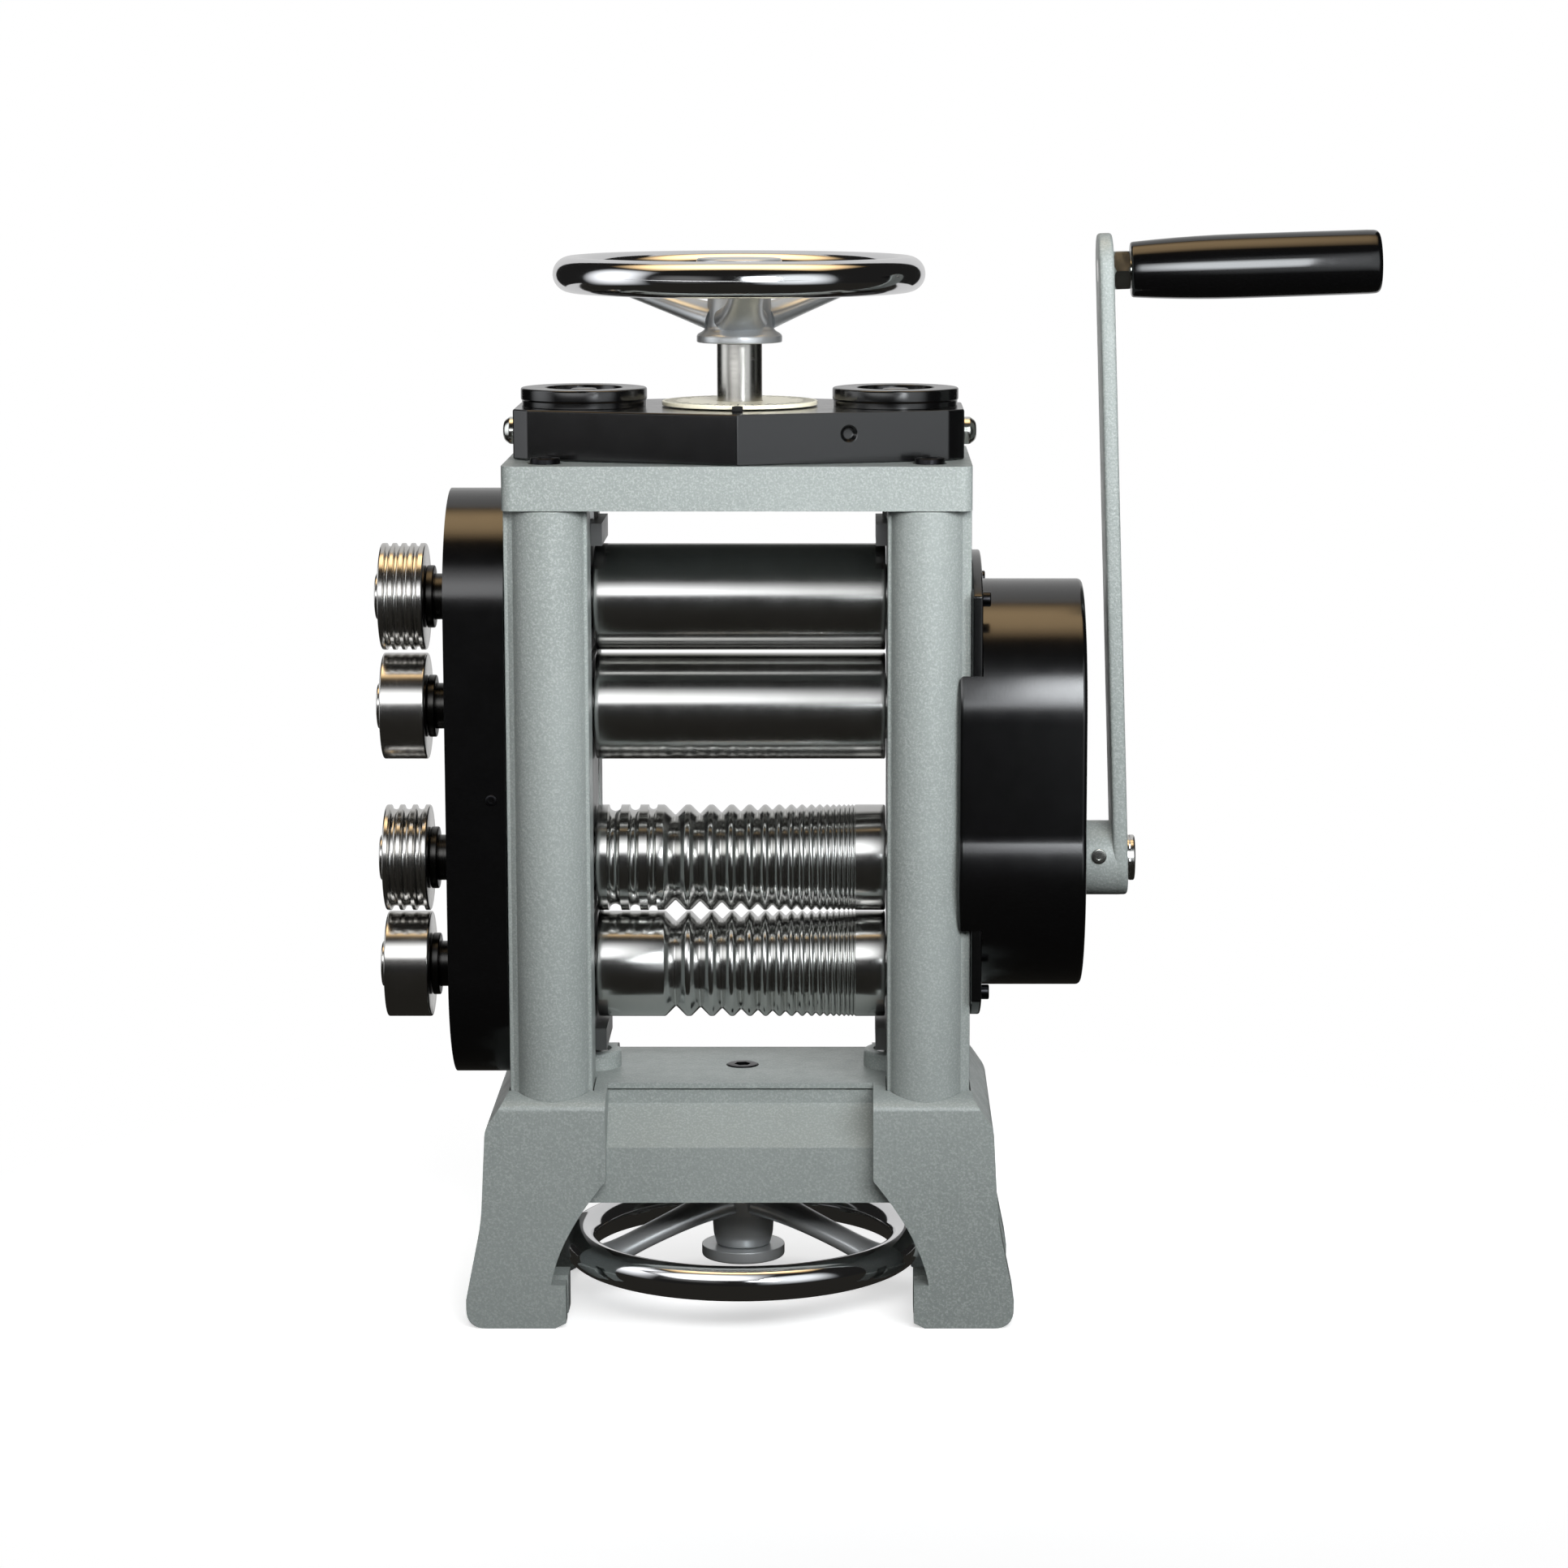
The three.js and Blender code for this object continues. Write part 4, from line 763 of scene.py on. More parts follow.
# Rolls: one turned bar each, with the grooves of the wire rolls cut by a steady rule
rollSizes = Sizes(
    radius=29, half=78.8, journal=18, stub=12.5, stubOut=14, gap=0.3, seat=10, collar=14, edge=1.2,
    gearFrom=131, gearFace=131.7, gearSeat=15, driveBore=8.4, driveDepth=10,
    veeFirst=11.5, veeAt=-36.3, veeShrink=0.88, veeLand=0.25, veeLip=0.35, veeLipShare=0.06, veeCount=17,
    roundWidths=(7, 6, 5), roundAt=-69.2, roundLand=4.4,
)


def veeProfile(radius):
    s = rollSizes
    points = []
    width = s.veeFirst
    at = s.veeAt
    for _ in range(s.veeCount):
        half = width / 2
        lip = min(s.veeLip, width * s.veeLipShare)
        points += [(at - half - lip, radius), (at - half + lip, radius - lip)]
        points += [(at - lip, radius - half + lip), (at + lip, radius - half + lip)]
        points += [(at + half - lip, radius - lip), (at + half + lip, radius)]
        following = width * s.veeShrink
        at += (width + following) / 2 * (1 + s.veeLand)
        width = following
    return points


def roundProfile(radius, widths, at, land, steps=10):
    points = []
    for i, width in enumerate(widths):
        points += arc(at, radius, width / 2, 180, 360, steps)
        following = widths[min(i + 1, len(widths) - 1)]
        at += (width + following) / 2 + land
    return points


def makeRoll(rollName, grooves):
    s = rollSizes
    node = "roll_" + rollName
    low, high = nodeBox(node)
    centre = nodeMiddle(node)
    gearLow, gearHigh = nodeBox("side_gear_" + rollName)
    coverLow, coverHigh = nodeBox("gear_cover")
    stubEnd = coverLow.x - s.stubOut + s.gap
    collarEnd = gearHigh.x + s.gap
    profile = [(low.x, 0), (low.x, s.seat), (stubEnd, s.seat), (stubEnd, s.stub, 0.6)]
    profile += [(gearLow.x - 2, s.stub), (gearLow.x - 2, s.collar, 0.4), (collarEnd, s.collar)]
    profile += [(collarEnd, s.journal, 0.5), (-s.half, s.journal), (-s.half, s.radius, s.edge)]
    profile = rounded(profile + [(-s.half + 3, s.radius)]) + grooves
    right = [(s.half - 3, s.radius), (s.half, s.radius, s.edge), (s.half, s.journal)]
    if high.x > s.gearFrom:
        right += [(s.gearFace, s.journal, 0.5), (s.gearFace, s.gearSeat), (high.x, s.gearSeat, 1)]
    else:
        right.append((high.x, s.journal, 1))
    profile += rounded(right + [(high.x, 0)])
    if rollName == "wire_upper":
        bottom = high.x - s.driveDepth
        profile = profile[:-1] + [(high.x, s.driveBore), (bottom, s.driveBore), (bottom, 0)]
    roll = turned(node + "_bar", profile, "X", (0, centre.y, centre.z), "roll", 128)
    roll.data.materials.append(finish["stub"])
    limitX = placed(coverHigh.x - 5, 0, 0)[0]
    for face in roll.data.polygons:
        if face.center.x < limitX:
            face.material_index = 1
    mount(roll, rollBodies[rollName], "roll_steel", node)


def makeRolls():
    s = rollSizes
    vees = veeProfile(s.radius)
    rounds = roundProfile(s.radius, s.roundWidths, s.roundAt, s.roundLand)
    grooves = {"wire_upper": rounds + vees, "wire_lower": vees}
    for rollName in rollBodies:
        makeRoll(rollName, grooves.get(rollName, []))


makeRolls()
print("rolls made")

# Extension rolls on the left ends; "grooves" gives width, count and land
sideRollSizes = Sizes(
    radius=29, rim=1.2, boss=12.5, proud=3.3, recess=21, recessDepth=1.2, nose=6.5, bore=10.4,
    collarBore=12.7, collar=17, collarFrom=0.4, collarTo=4.6,
    grooves={"flat_upper": (3.4, 4, 1.7), "wire_upper": (5.2, 3, 1.8)},
)


def makeSideRolls():
    s = sideRollSizes
    for rollName, body in rollBodies.items():
        node = "side_roll_" + rollName
        low, high = nodeBox(node)
        centre = nodeMiddle("roll_" + rollName)
        outer = low.x + s.proud
        deep = outer + s.recessDepth
        profile = [(low.x, 0), (low.x, s.nose), (low.x, s.boss, 1), (outer, s.boss, 0.8)]
        profile = rounded(profile + [(deep, s.boss + 2, 0.6)])
        rim = [(deep, s.recess - 1, 0.5), (outer, s.recess, 0.5), (outer, s.radius, s.rim)]
        profile += rounded(rim + [(outer + 2, s.radius)])
        if rollName in s.grooves:
            width, count, land = s.grooves[rollName]
            run = (count - 1) * (width + land)
            profile += roundProfile(s.radius, [width] * count, (outer + high.x - run) / 2, land, 8)
        back = [(high.x - 2, s.radius), (high.x, s.radius, s.rim), (high.x, s.bore)]
        profile += rounded(back + [(outer + 1.5, s.bore), (outer + 1.5, 0)])
        roll = turned(node + "_ring", profile, "X", (0, centre.y, centre.z), "sideRoll", 112)
        mount(roll, body, "roll_steel", node)
        near = high.x + s.collarFrom
        far = high.x + s.collarTo
        collar = [(near, s.collarBore), (near, s.collar, 0.8), (far, s.collar, 0.8), (far, s.collarBore)]
        collar = rounded(collar + [(near, s.collarBore)])
        ring = turned(node + "_collar", collar, "X", (0, centre.y, centre.z), "stub", 64)
        mount(ring, body, "gear_steel")


makeSideRolls()
print("extension rolls made")

# Left cover: a round-ended shell with a rounded outer rim
coverSizes = Sizes(edge=3.2, wall=3, hole=17.6, holeDepth=5, screw=6, screwAt=(-132, 287))


def roundEnded(radius, lowZ, highZ):
    return arc(0, highZ, radius, 0, 180, 40) + arc(0, lowZ, radius, 180, 360, 40)


def makeGearCover():
    s = coverSizes
    low, high = nodeBox("gear_cover")
    radius = (high.y - low.y) / 2
    lowZ = low.z + radius
    highZ = high.z - radius
    cover = pushed("gear_cover_shell", roundEnded(radius, lowZ, highZ), "X", low.x, high.x, "black")
    inside = roundEnded(radius - s.wall, lowZ, highZ)
    tools = [pushed("hollow", inside, "X", low.x + s.wall, high.x + 1, "black")]
    for rollName in rollBodies:
        centre = nodeMiddle("roll_" + rollName)
        tools.append(rod(low.x - 2, low.x + s.holeDepth, s.hole, "X", (0, 0, centre.z)))
    carve(cover, "DIFFERENCE", *tools)
    softenEdges(cover, s.edge, 4, 45)
    mount(cover, "frame", "black_enamel", "gear_cover")
    repaint(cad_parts["gear_cover_plate"], finish["black"])


makeGearCover()
print("left cover made")

# Gearbox: a casing with a round head over the large gear and a fuller lobe round the pinion, on a flange
gearboxSizes = Sizes(
    head=69.5, lobe=72, lobeLift=2.5, wall=4, fillet=3, edge=2.6, skirtHalf=64.9, flangeBore=19,
    bushHole=16.9, bush=16.7, bushBore=12.8, gap=0.3, roomTop=500,
    flangeScrew=8, screwDepth=4.5, screwSocket=4, screwLift=4.4,
    screwAt=((52, 394), (-52, 394), (52, 181), (-52, 181)),
)


def gearboxOutline(inset):
    s = gearboxSizes
    head = s.head - inset
    lobe = s.lobe - inset
    lobeZ = nodeMiddle("roll_wire_upper").z + s.lobeLift
    crease = math.degrees(math.acos(head / lobe))
    creaseZ = lobeZ + lobe * math.sin(math.radians(crease))
    shrink = math.degrees(s.fillet / lobe)
    lower = arc(0, lobeZ, lobe, 180 - crease + shrink, 360 + crease - shrink, 80)
    points = arc(0, nodeMiddle("roll_flat_lower").z, head, 0, 180, 64)
    points.append((-head, creaseZ + s.fillet))
    points += bezier(points[-1], (-head, creaseZ), lower[0], 6)
    points += lower[1:]
    points += bezier(lower[-1], (head, creaseZ), (head, creaseZ + s.fillet), 6)
    return points


def makeGearbox():
    s = gearboxSizes
    low, high = nodeBox("gearbox_cover")
    plateLow, plateHigh = nodeBox("gearbox_plate")
    shaftZ = nodeMiddle("gearbox_bush").z
    casing = pushed("gearbox_casing", gearboxOutline(0), "X", low.x, high.x, "black")
    roundEdges(casing, s.edge, 4, 45)
    inner = pushed("inner", gearboxOutline(s.wall), "X", low.x - 1, high.x - s.wall, "black")
    room = boxed("room", 0, plateHigh.x + s.gap, -s.skirtHalf, s.skirtHalf, 0, s.roomTop, "black")
    hole = rod(high.x - 10, high.x + 2, s.bushHole, "X", (0, 0, shaftZ))
    carve(casing, "DIFFERENCE", inner, room, hole)
    weighNormals(casing, 28)
    mount(casing, "frame", "black_enamel", "gearbox_cover")
    centreZ = nodeMiddle("gearbox_plate").z
    radius = (plateHigh.z - plateLow.z) / 2
    reach = math.degrees(math.acos(plateHigh.y / radius))
    flange = arc(0, centreZ, radius, reach, 180 - reach, 40)
    flange += arc(0, centreZ, radius, 180 + reach, 360 - reach, 40)
    plate = pushed("gearbox_flange", flange, "X", plateLow.x, plateHigh.x, "black")
    for node in ("roll_flat_lower", "roll_wire_upper"):
        centre = (0, 0, nodeMiddle(node).z)
        carve(plate, "DIFFERENCE", rod(plateLow.x - 1, plateHigh.x + 1, s.flangeBore, "X", centre))
    softenEdges(plate, 1)
    mount(plate, "frame", "black_enamel", "gearbox_plate")
    screw = socketScrew("flangeScrew", s.flangeScrew, s.screwDepth, s.screwSocket)
    places = [((plateHigh.x + s.screwLift, y, z), (0, 90, 0)) for y, z in s.screwAt]
    mount(copies("flange_screws", screw, places, "oxide"), "frame", "bright_steel")
    left, right = [corner.x for corner in nodeBox("gearbox_bush")]
    profile = [(left, s.bushBore), (left, s.bush, 0.5), (right, s.bush, 0.8), (right, s.bushBore, 0.5)]
    profile = rounded(profile + [(left, s.bushBore)])
    bush = turned("gearbox_bush_ring", profile, "X", (0, 0, shaftZ), "bronze", 64)
    mount(bush, "frame", "bronze", "gearbox_bush")


makeGearbox()
print("gearbox made")

# Crank: a flat arm with a round hub, its shaft end, the hexagon and the grip
crankSizes = Sizes(
    hub=20.4, hubBore=12.8, hubLong=16, end=20, thick=8, length=320, tilt=1.9, edge=1.8, endGap=4.5,
    shaft=12.5, neck=8, neckLong=14.5, setScrew=4.2, setScrewAt=(8, 4),
    gap=0.3, hex=20, hexLong=9, pin=6, pinGap=0.5,
)
gripSizes = Sizes(root=14.75, full=17.25, length=134, edge=5, swell=0.45)


def armMiddle():
    shaftHigh = nodeBox("input_shaft")[1]
    return shaftHigh.x - crankSizes.endGap - crankSizes.thick / 2, nodeMiddle("roll_wire_upper").z


# Moves a piece that was built about the mill's origin
def moved(obj, matrix):
    aboutOrigin(obj)
    obj.data.transform(matrix)


def makeArm():
    s = crankSizes
    armX, axisZ = armMiddle()
    lean = math.degrees(math.asin((s.hub - s.end) / s.length))
    outline = arc(0, s.length, s.end, lean, 180 - lean, 24)
    outline += arc(0, 0, s.hub, 180 - lean, 360 + lean, 24)
    arm = pushed("crank_arm_bar", outline, "X", -s.thick / 2, s.thick / 2, "enamel")
    turn = Matrix.Rotation(math.radians(-s.tilt), 4, "Y")
    moved(arm, Matrix.Translation(placed(armX, 0, axisZ)) @ turn)
    softenEdges(arm, s.edge)
    left = armX - s.thick / 2 - s.hubLong
    profile = [(left, s.hubBore), (left, s.hub, 2), (armX, s.hub), (armX, s.hubBore), (left, s.hubBore)]
    hub = turned("hub", rounded(profile), "X", (0, 0, axisZ), "enamel", 72)
    crank = fuse("crank_arm_casting", arm, hub)
    smoothShade(crank)
    mount(crank, "crank", "frame_enamel", "crank_arm")
    profile = rounded([(0, 0), (0, s.setScrew), (1.4, s.setScrew, 0.6), (1.4, 1.9), (0.4, 1.9), (0.4, 0)])
    screw = turned("crank_set_screw", profile, "Z", (0, 0, 0), "zinc", 32)
    at = placed(left + s.setScrewAt[0], -s.hub + 0.5, axisZ + s.setScrewAt[1])
    moved(screw, Matrix.Translation(at) @ Matrix.Rotation(math.radians(90), 4, "X"))
    mount(screw, "crank", "bright_steel")


def makeShaft():
    s = crankSizes
    left, right = [corner.x for corner in nodeBox("input_shaft")]
    neckEnd = left + s.neckLong
    ringFrom = right - 3.4
    ringTo = right - 2.6
    groove = s.shaft - 0.7
    profile = rounded([(left, 0), (left, s.neck), (neckEnd, s.neck), (neckEnd, s.shaft, 0.6)])
    end = [(ringFrom, s.shaft), (ringFrom, groove), (ringTo, groove), (ringTo, s.shaft)]
    end += [(right, s.shaft, 1.2), (right, 3.2, 0.4), (right - 3, 0)]
    shaft = turned("input_shaft_bar", profile + rounded(end), "X", (0, 0, armMiddle()[1]), "sideRoll", 72)
    mount(shaft, "crank", "bright_steel")
    repaint(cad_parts["input_shaft"], finish["gear"])


def makeHandle():
    s = crankSizes
    g = gripSizes
    armX, axisZ = armMiddle()
    tilt = math.radians(s.tilt)
    root = placed(armX - s.length * math.sin(tilt), 0, axisZ + s.length * math.cos(tilt))
    place = Matrix.Translation(root) @ Matrix.Rotation(-tilt, 4, "Y")
    hexFrom = s.thick / 2 + s.gap
    hexTo = hexFrom + s.hexLong
    nut = pushed("nut", hexagon(s.hex), "X", hexFrom, hexTo, "zinc")
    chamfer = [(hexFrom - 4, 0), (hexFrom - 4, 8), (hexFrom, 10.2), (hexFrom + 1.4, 11.6)]
    chamfer += [(hexTo - 1.4, 11.6), (hexTo, 10.2), (hexTo + 4, 8), (hexTo + 4, 0)]
    carve(nut, "INTERSECT", turned("chamfer", chamfer, "X", (0, 0, 0), "zinc", 60))
    gripFrom = hexTo + 0.4
    gripTo = gripFrom + g.length
    pinProfile = [(-s.thick / 2, 0), (-s.thick / 2, s.pin), (gripTo - 7, s.pin, 0.5), (gripTo - 7, 0)]
    pin = turned("pin", rounded(pinProfile), "X", (0, 0, 0), "zinc", 40)
    spindle = fuse("handle_spindle_bar", nut, pin)
    smoothShade(spindle)
    moved(spindle, place)
    mount(spindle, "crank", "bright_steel", "handle_spindle")
    bore = s.pin + s.pinGap
    outer = [(gripFrom, bore), (gripFrom, g.root, 1.6)]
    for t in (0.04, 0.1, 0.18, 0.26, 0.34, 0.45, 0.7):
        growth = 1 - (1 - min(t / g.swell, 1)) ** 2
        outer.append((gripFrom + g.length * t, g.root + (g.full - g.root) * growth))
    outer += [(gripTo - g.edge - 2, g.full - 0.1), (gripTo, g.full - 0.4, g.edge)]
    outer += [(gripTo, 4.4, 0.8), (gripTo - 1.2, 3.4), (gripTo - 1.2, 0)]
    profile = rounded(outer, 6) + [(gripTo - 6, 0), (gripTo - 6, bore), (gripFrom, bore)]
    grip = turned("handle_grip_body", profile, "X", (0, 0, 0), "grip", 96)
    moved(grip, place)
    mount(grip, "grip", "grip_phenolic", "handle_grip")


makeArm()
makeShaft()
makeHandle()
print("crank made")

# Head: faceted black case, its round caps with holes, and the domed screws at its ends
headSizes = Sizes(
    edge=1.4, wall=3.5, corner=8, endHalf=35, spindleHole=12.6, screwX=59,
    capHoles=6, capHoleAt=12.5, capHole=2.6, capRecess=21, capDepth=3, capBoss=7.5, capLip=0.6,
    screwGap=0.3, shankLong=3.6, shank=4, dome=7.4,
)


def makeHeadCase():
    s = headSizes
    low, high = nodeBox("head_casing")
    half = high.x
    depth = high.y
    outline = [(0, depth), (half - s.corner, s.endHalf), (half, s.endHalf - s.corner)]
    outline += [(x, -y) for x, y in reversed(outline[1:])] + [(0, -depth)]
    outline += [(-x, y) for x, y in reversed(outline[1:5])]
    casing = pushed("head_casing_shell", outline, "Z", low.z, high.z, "black")
    inner = [(x * (half - s.wall) / half, y * (depth - s.wall * 1.3) / depth) for x, y in outline]
    hollow = pushed("hollow", inner, "Z", low.z - 1, high.z - s.wall, "black")
    hole = rod(low.z, high.z + 1, s.spindleHole, "Z", (0, 0, 0))
    facet = math.atan2(depth - s.endHalf, half - s.corner)
    turn = Matrix.Rotation(facet, 4, "Z") @ Matrix.Rotation(math.radians(90), 4, "X")
    screwAt = placed(s.screwX, -(depth - s.screwX * math.tan(facet)), (low.z + high.z) / 2 + 2)
    screwHole = turned("hole", [(-2, 0), (-2, 3.4), (1, 4.2), (1, 0)], "Z", (0, 0, 0), "black", 32)
    moved(screwHole, Matrix.Translation(screwAt) @ turn)
    carve(casing, "DIFFERENCE", hollow, hole, screwHole)
    softenEdges(casing, s.edge, 3, 14)
    mount(casing, "frame", "black_enamel", "head_casing")


def makeHeadCap(node):
    s = headSizes
    low, high = nodeBox(node)
    centreX = nodeMiddle(node).x
    radius = (high.x - low.x) / 2
    floor = high.z - s.capDepth
    crown = high.z - s.capLip
    waist = radius - s.capLip
    profile = [(low.z, 0), (low.z, waist), (low.z + 3, waist, 0.3), (low.z + 3.6, radius, 0.4)]
    profile += [(high.z, radius, 1.2), (high.z, s.capRecess, 0.6), (floor, s.capRecess - s.capLip, 0.6)]
    profile += [(floor, s.capBoss, 0.4), (crown, 6.8, 0.8), (crown, 0)]
    cap = turned(node + "_disc", rounded(profile), "Z", (centreX, 0, 0), "black", 96)
    for i in range(s.capHoles):
        angle = 2 * math.pi * (i + 0.5) / s.capHoles
        at = (centreX + s.capHoleAt * math.cos(angle), s.capHoleAt * math.sin(angle), 0)
        carve(cap, "DIFFERENCE", rod(floor - 4, high.z + 1, s.capHole, "Z", at, "black", 24))
    smoothShade(cap, 30)
    mount(cap, "frame", "black_enamel", node)


def makeLockScrew(node, side):
    s = headSizes
    face = nodeBox("head_casing")[1].x + s.screwGap
    tail = face - s.shankLong
    profile = [(tail, 0), (tail, s.shank), (face, s.shank), (face, s.dome, 0.4), (face + 3.4, s.dome, 0.6)]
    profile += [(face + 6.4, 5.2, 1.4), (face + 7, 2.4, 0.3), (face + 4.5, 2.2), (face + 4.5, 0)]
    outward = [(side * along, radius) for along, radius in rounded(profile)]
    screw = turned(node + "_dome", outward, "X", (0, 0, nodeMiddle(node).z), "zinc", 48)
    mount(screw, "frame", "bright_steel", node)


makeHeadCase()
for sideName, side in sides.items():
    makeHeadCap("head_cap_" + sideName)
    makeLockScrew("head_lock_screw_" + sideName, side)
print("head made")

# Spindles, the engraved dial and the two handwheels
wheelSizes = Sizes(
    ring=90.5, tube=9.5, dish=36.5, flange=23, flangeThick=4, hub=18, hubTop=1.5, bore=8.4,
    spokeWide=10, spokeThick=5.2, spokeSides=24, spokeSteps=18, rimSides=36, cap=23, capThick=6.5,
)
dialSizes = Sizes(bore=12.6, count=60, shortInset=4.6, longInset=6.2, pointer=5.5, pointerGap=0.8)
coilSizes = Sizes(turns=4.5, radius=4.4, wire=0.95, keep=0.75)


def lofted(name, rings, material):
    count = len(rings[0])
    points = [p for ring in rings for p in ring]
    faces = [tuple(range(count)), tuple(range(len(points) - 1, len(points) - count - 1, -1))]
    for k in range(len(rings) - 1):
        for i in range(count):
            j = (i + 1) % count
            a = k * count
            faces.append((a + i, a + j, a + j + count, a + i + count))
    return meshObject(name, points, faces, material)


def softened(value):
    return math.copysign(abs(value) ** 0.8, value)


def makeSpoke(angle, z, flip):
    s = wheelSizes
    turn = math.radians(angle)
    slope = math.atan2(s.dish - 14, s.ring - s.hub)
    rings = []
    for k in range(s.spokeSteps + 1):
        t = k / s.spokeSteps
        radius = s.hub - 5 + (s.ring - 3 - s.hub + 5) * t
        height = -s.dish + s.flangeThick + 9 + (s.dish - s.flangeThick - 10) * (t**1.15)
        flare = 1 + 0.45 * (1 - t) ** 4 + 0.5 * t**10
        wide = s.spokeWide * flare * (1 - 0.16 * t)
        thick = s.spokeThick * flare * (1 - 0.08 * t)
        ring = []
        for i in range(s.spokeSides):
            a = 2 * math.pi * i / s.spokeSides
            across = wide * softened(math.cos(a))
            up = thick * softened(math.sin(a))
            r = radius - up * math.sin(slope)
            h = height + up * math.cos(slope)
            x = r * math.cos(turn) - across * math.sin(turn)
            y = r * math.sin(turn) + across * math.cos(turn)
            ring.append((x, y, z + flip * h))
        rings.append(ring)
    return lofted("spoke", rings, "satin")


def makeWheel(node, body, spokeAngle, rimZ, flip):
    s = wheelSizes
    tube = []
    for i in range(s.rimSides + 1):
        a = 2 * math.pi * i / s.rimSides
        tube.append((rimZ + s.tube * math.sin(a), s.ring + s.tube * math.cos(a)))
    rim = turned("rim", tube, "Z", (0, 0, 0), "chrome", 144)
    top = -s.dish + s.flangeThick
    profile = [(-s.dish, s.bore), (-s.dish, s.flange, 0.6), (top, s.flange, 1.2), (top + 3, s.hub, 2.5)]
    profile += [(s.hubTop - 6, s.hub - 1.5, 2), (s.hubTop, s.hub - 3, 1), (s.hubTop, s.bore)]
    profile = [(rimZ + flip * z, r) for z, r in rounded(profile + [(-s.dish, s.bore)])]
    hub = turned("hub", profile, "Z", (0, 0, 0), "satin", 72)
    spokes = [makeSpoke(flip * (spokeAngle + 120 * i), rimZ, flip) for i in range(3)]
    wheel = fuse(node + "_casting", rim, hub, *spokes)
    smoothShade(wheel, 50)
    mount(wheel, body, "chrome_rim", node)
    capNode = node.replace("handwheel", "wheel_cap")
    low, high = nodeBox(capNode)
    start = low.z if flip > 0 else high.z
    profile = rounded([(0, s.bore), (0, s.cap, 0.5), (s.capThick, s.cap, 1.6), (s.capThick, 0)], 5)
    profile += [(3.5, 0), (3.5, s.bore), (0, s.bore)]
    profile = [(start + flip * z, r) for z, r in profile]
    mount(turned(capNode + "_disc", profile, "Z", (0, 0, 0), "satin", 72), body, "bright_steel", capNode)


def makeSpindle(node, body):
    low, high = nodeBox(node)
    wheelLow, wheelHigh = nodeBox(node.replace("spindle", "handwheel"))
    gearLow, gearHigh = nodeBox(node.replace("spindle", "centre_gear"))
    gap = 0.3
    if node == "top_spindle":
        tail, far, near, shoulder, tip = low.z, gearLow.z - gap, gearHigh.z + gap, wheelLow.z - gap, high.z
    else:
        tail, far, near, shoulder, tip = high.z, gearHigh.z + gap, gearLow.z - gap, wheelHigh.z + gap, low.z
    profile = [(tail, 0), (tail, 6), (far, 6), (far, 9), (near, 9), (near, 12.2)]
    profile += [(shoulder, 12.2, 0.5), (shoulder, 8), (tip, 8, 0.5), (tip, 0)]
    spindle = turned(node + "_bar", rounded(profile), "Z", (0, 0, 0), "spindle", 72)
    mount(spindle, body, "bright_steel", node)


def makeDial():
    s = dialSizes
    low, high = nodeBox("dial_ring")
    radius = high.x
    profile = [(low.z, s.bore), (low.z, radius, 0.3), (high.z, radius, 0.5), (high.z, radius - 2)]
    profile = rounded(profile + [(high.z, s.bore), (low.z, s.bore)])
    dial = turned("dial_disc", profile, "Z", (0, 0, 0), "cream", 120)
    mount(dial, "top_wheel", "dial_cream", "dial_ring")
    places = {True: [], False: []}
    for i in range(s.count):
        angle = 360 * i / s.count
        across = math.radians(angle)
        isLong = i % 5 == 0
        r = radius - (s.longInset if isLong else s.shortInset)
        places[isLong].append(((r * math.cos(across), r * math.sin(across), high.z), (0, 0, angle)))
    kinds = (("dial_marks", False, 3.1, 0.2), ("dial_long_marks", True, 4.8, 0.28))
    for name, isLong, halfLong, halfWide in kinds:
        mark = aboutOrigin(boxed("mark", -halfLong, halfLong, -halfWide, halfWide, -0.05, 0.06, "ink"))
        mount(copies(name, mark, places[isLong], "ink"), "top_wheel", "dial_cream")


def makePointer():
    high = nodeBox("dial_ring")[1]
    tip = high.x + dialSizes.pointerGap
    outline = [(0, -tip), (-3, -tip - dialSizes.pointer), (3, -tip - dialSizes.pointer)]
    pointer = pushed("dial_pointer", outline, "Z", nodeBox("head_casing")[1].z, high.z, "ink")
    softenEdges(pointer, 0.3, 2)
    mount(pointer, "frame", "black_enamel")


def makeSpring(node):
    s = coilSizes
    low, high = nodeBox(node)
    middle = nodeMiddle(node)
    values = {
        "turns": s.turns,
        "radius": s.radius / 1000,
        "height": (high.z - low.z - 2 * s.wire) / 1000,
        "wire": s.wire / 1000,
        "finish": finish["iron"],
    }
    coil = grown(node + "_coil", bpy.data.meshes.new(node + "_coil"), coilTree, values)
    coil.data.transform(Matrix.Translation(placed(middle.x, middle.y, low.z + s.wire)))
    mount(coil, "frame", "spring_steel", node)
    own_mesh(coil)


makeSpindle("top_spindle", "top_wheel")
makeSpindle("bottom_spindle", "bottom_wheel")
topRim = nodeBox("top_handwheel")[1].z - wheelSizes.tube
bottomRim = nodeBox("bottom_handwheel")[0].z + wheelSizes.tube
makeWheel("top_handwheel", "top_wheel", -85, topRim, 1)
makeWheel("bottom_handwheel", "bottom_wheel", -90, bottomRim, -1)
makeDial()
makePointer()
for end, fixedTop in (("upper", False), ("lower", True)):
    for sideName in sides:
        makeSpring(f"{end}_spring_{sideName}")
print("wheels, dial and springs made")


smallScrews = Sizes(
    deckHead=17, deckDepth=4.2, deckSocket=8, deckLift=0.6, deckTurn=11, coverDepth=3, coverSocket=2.6,
)


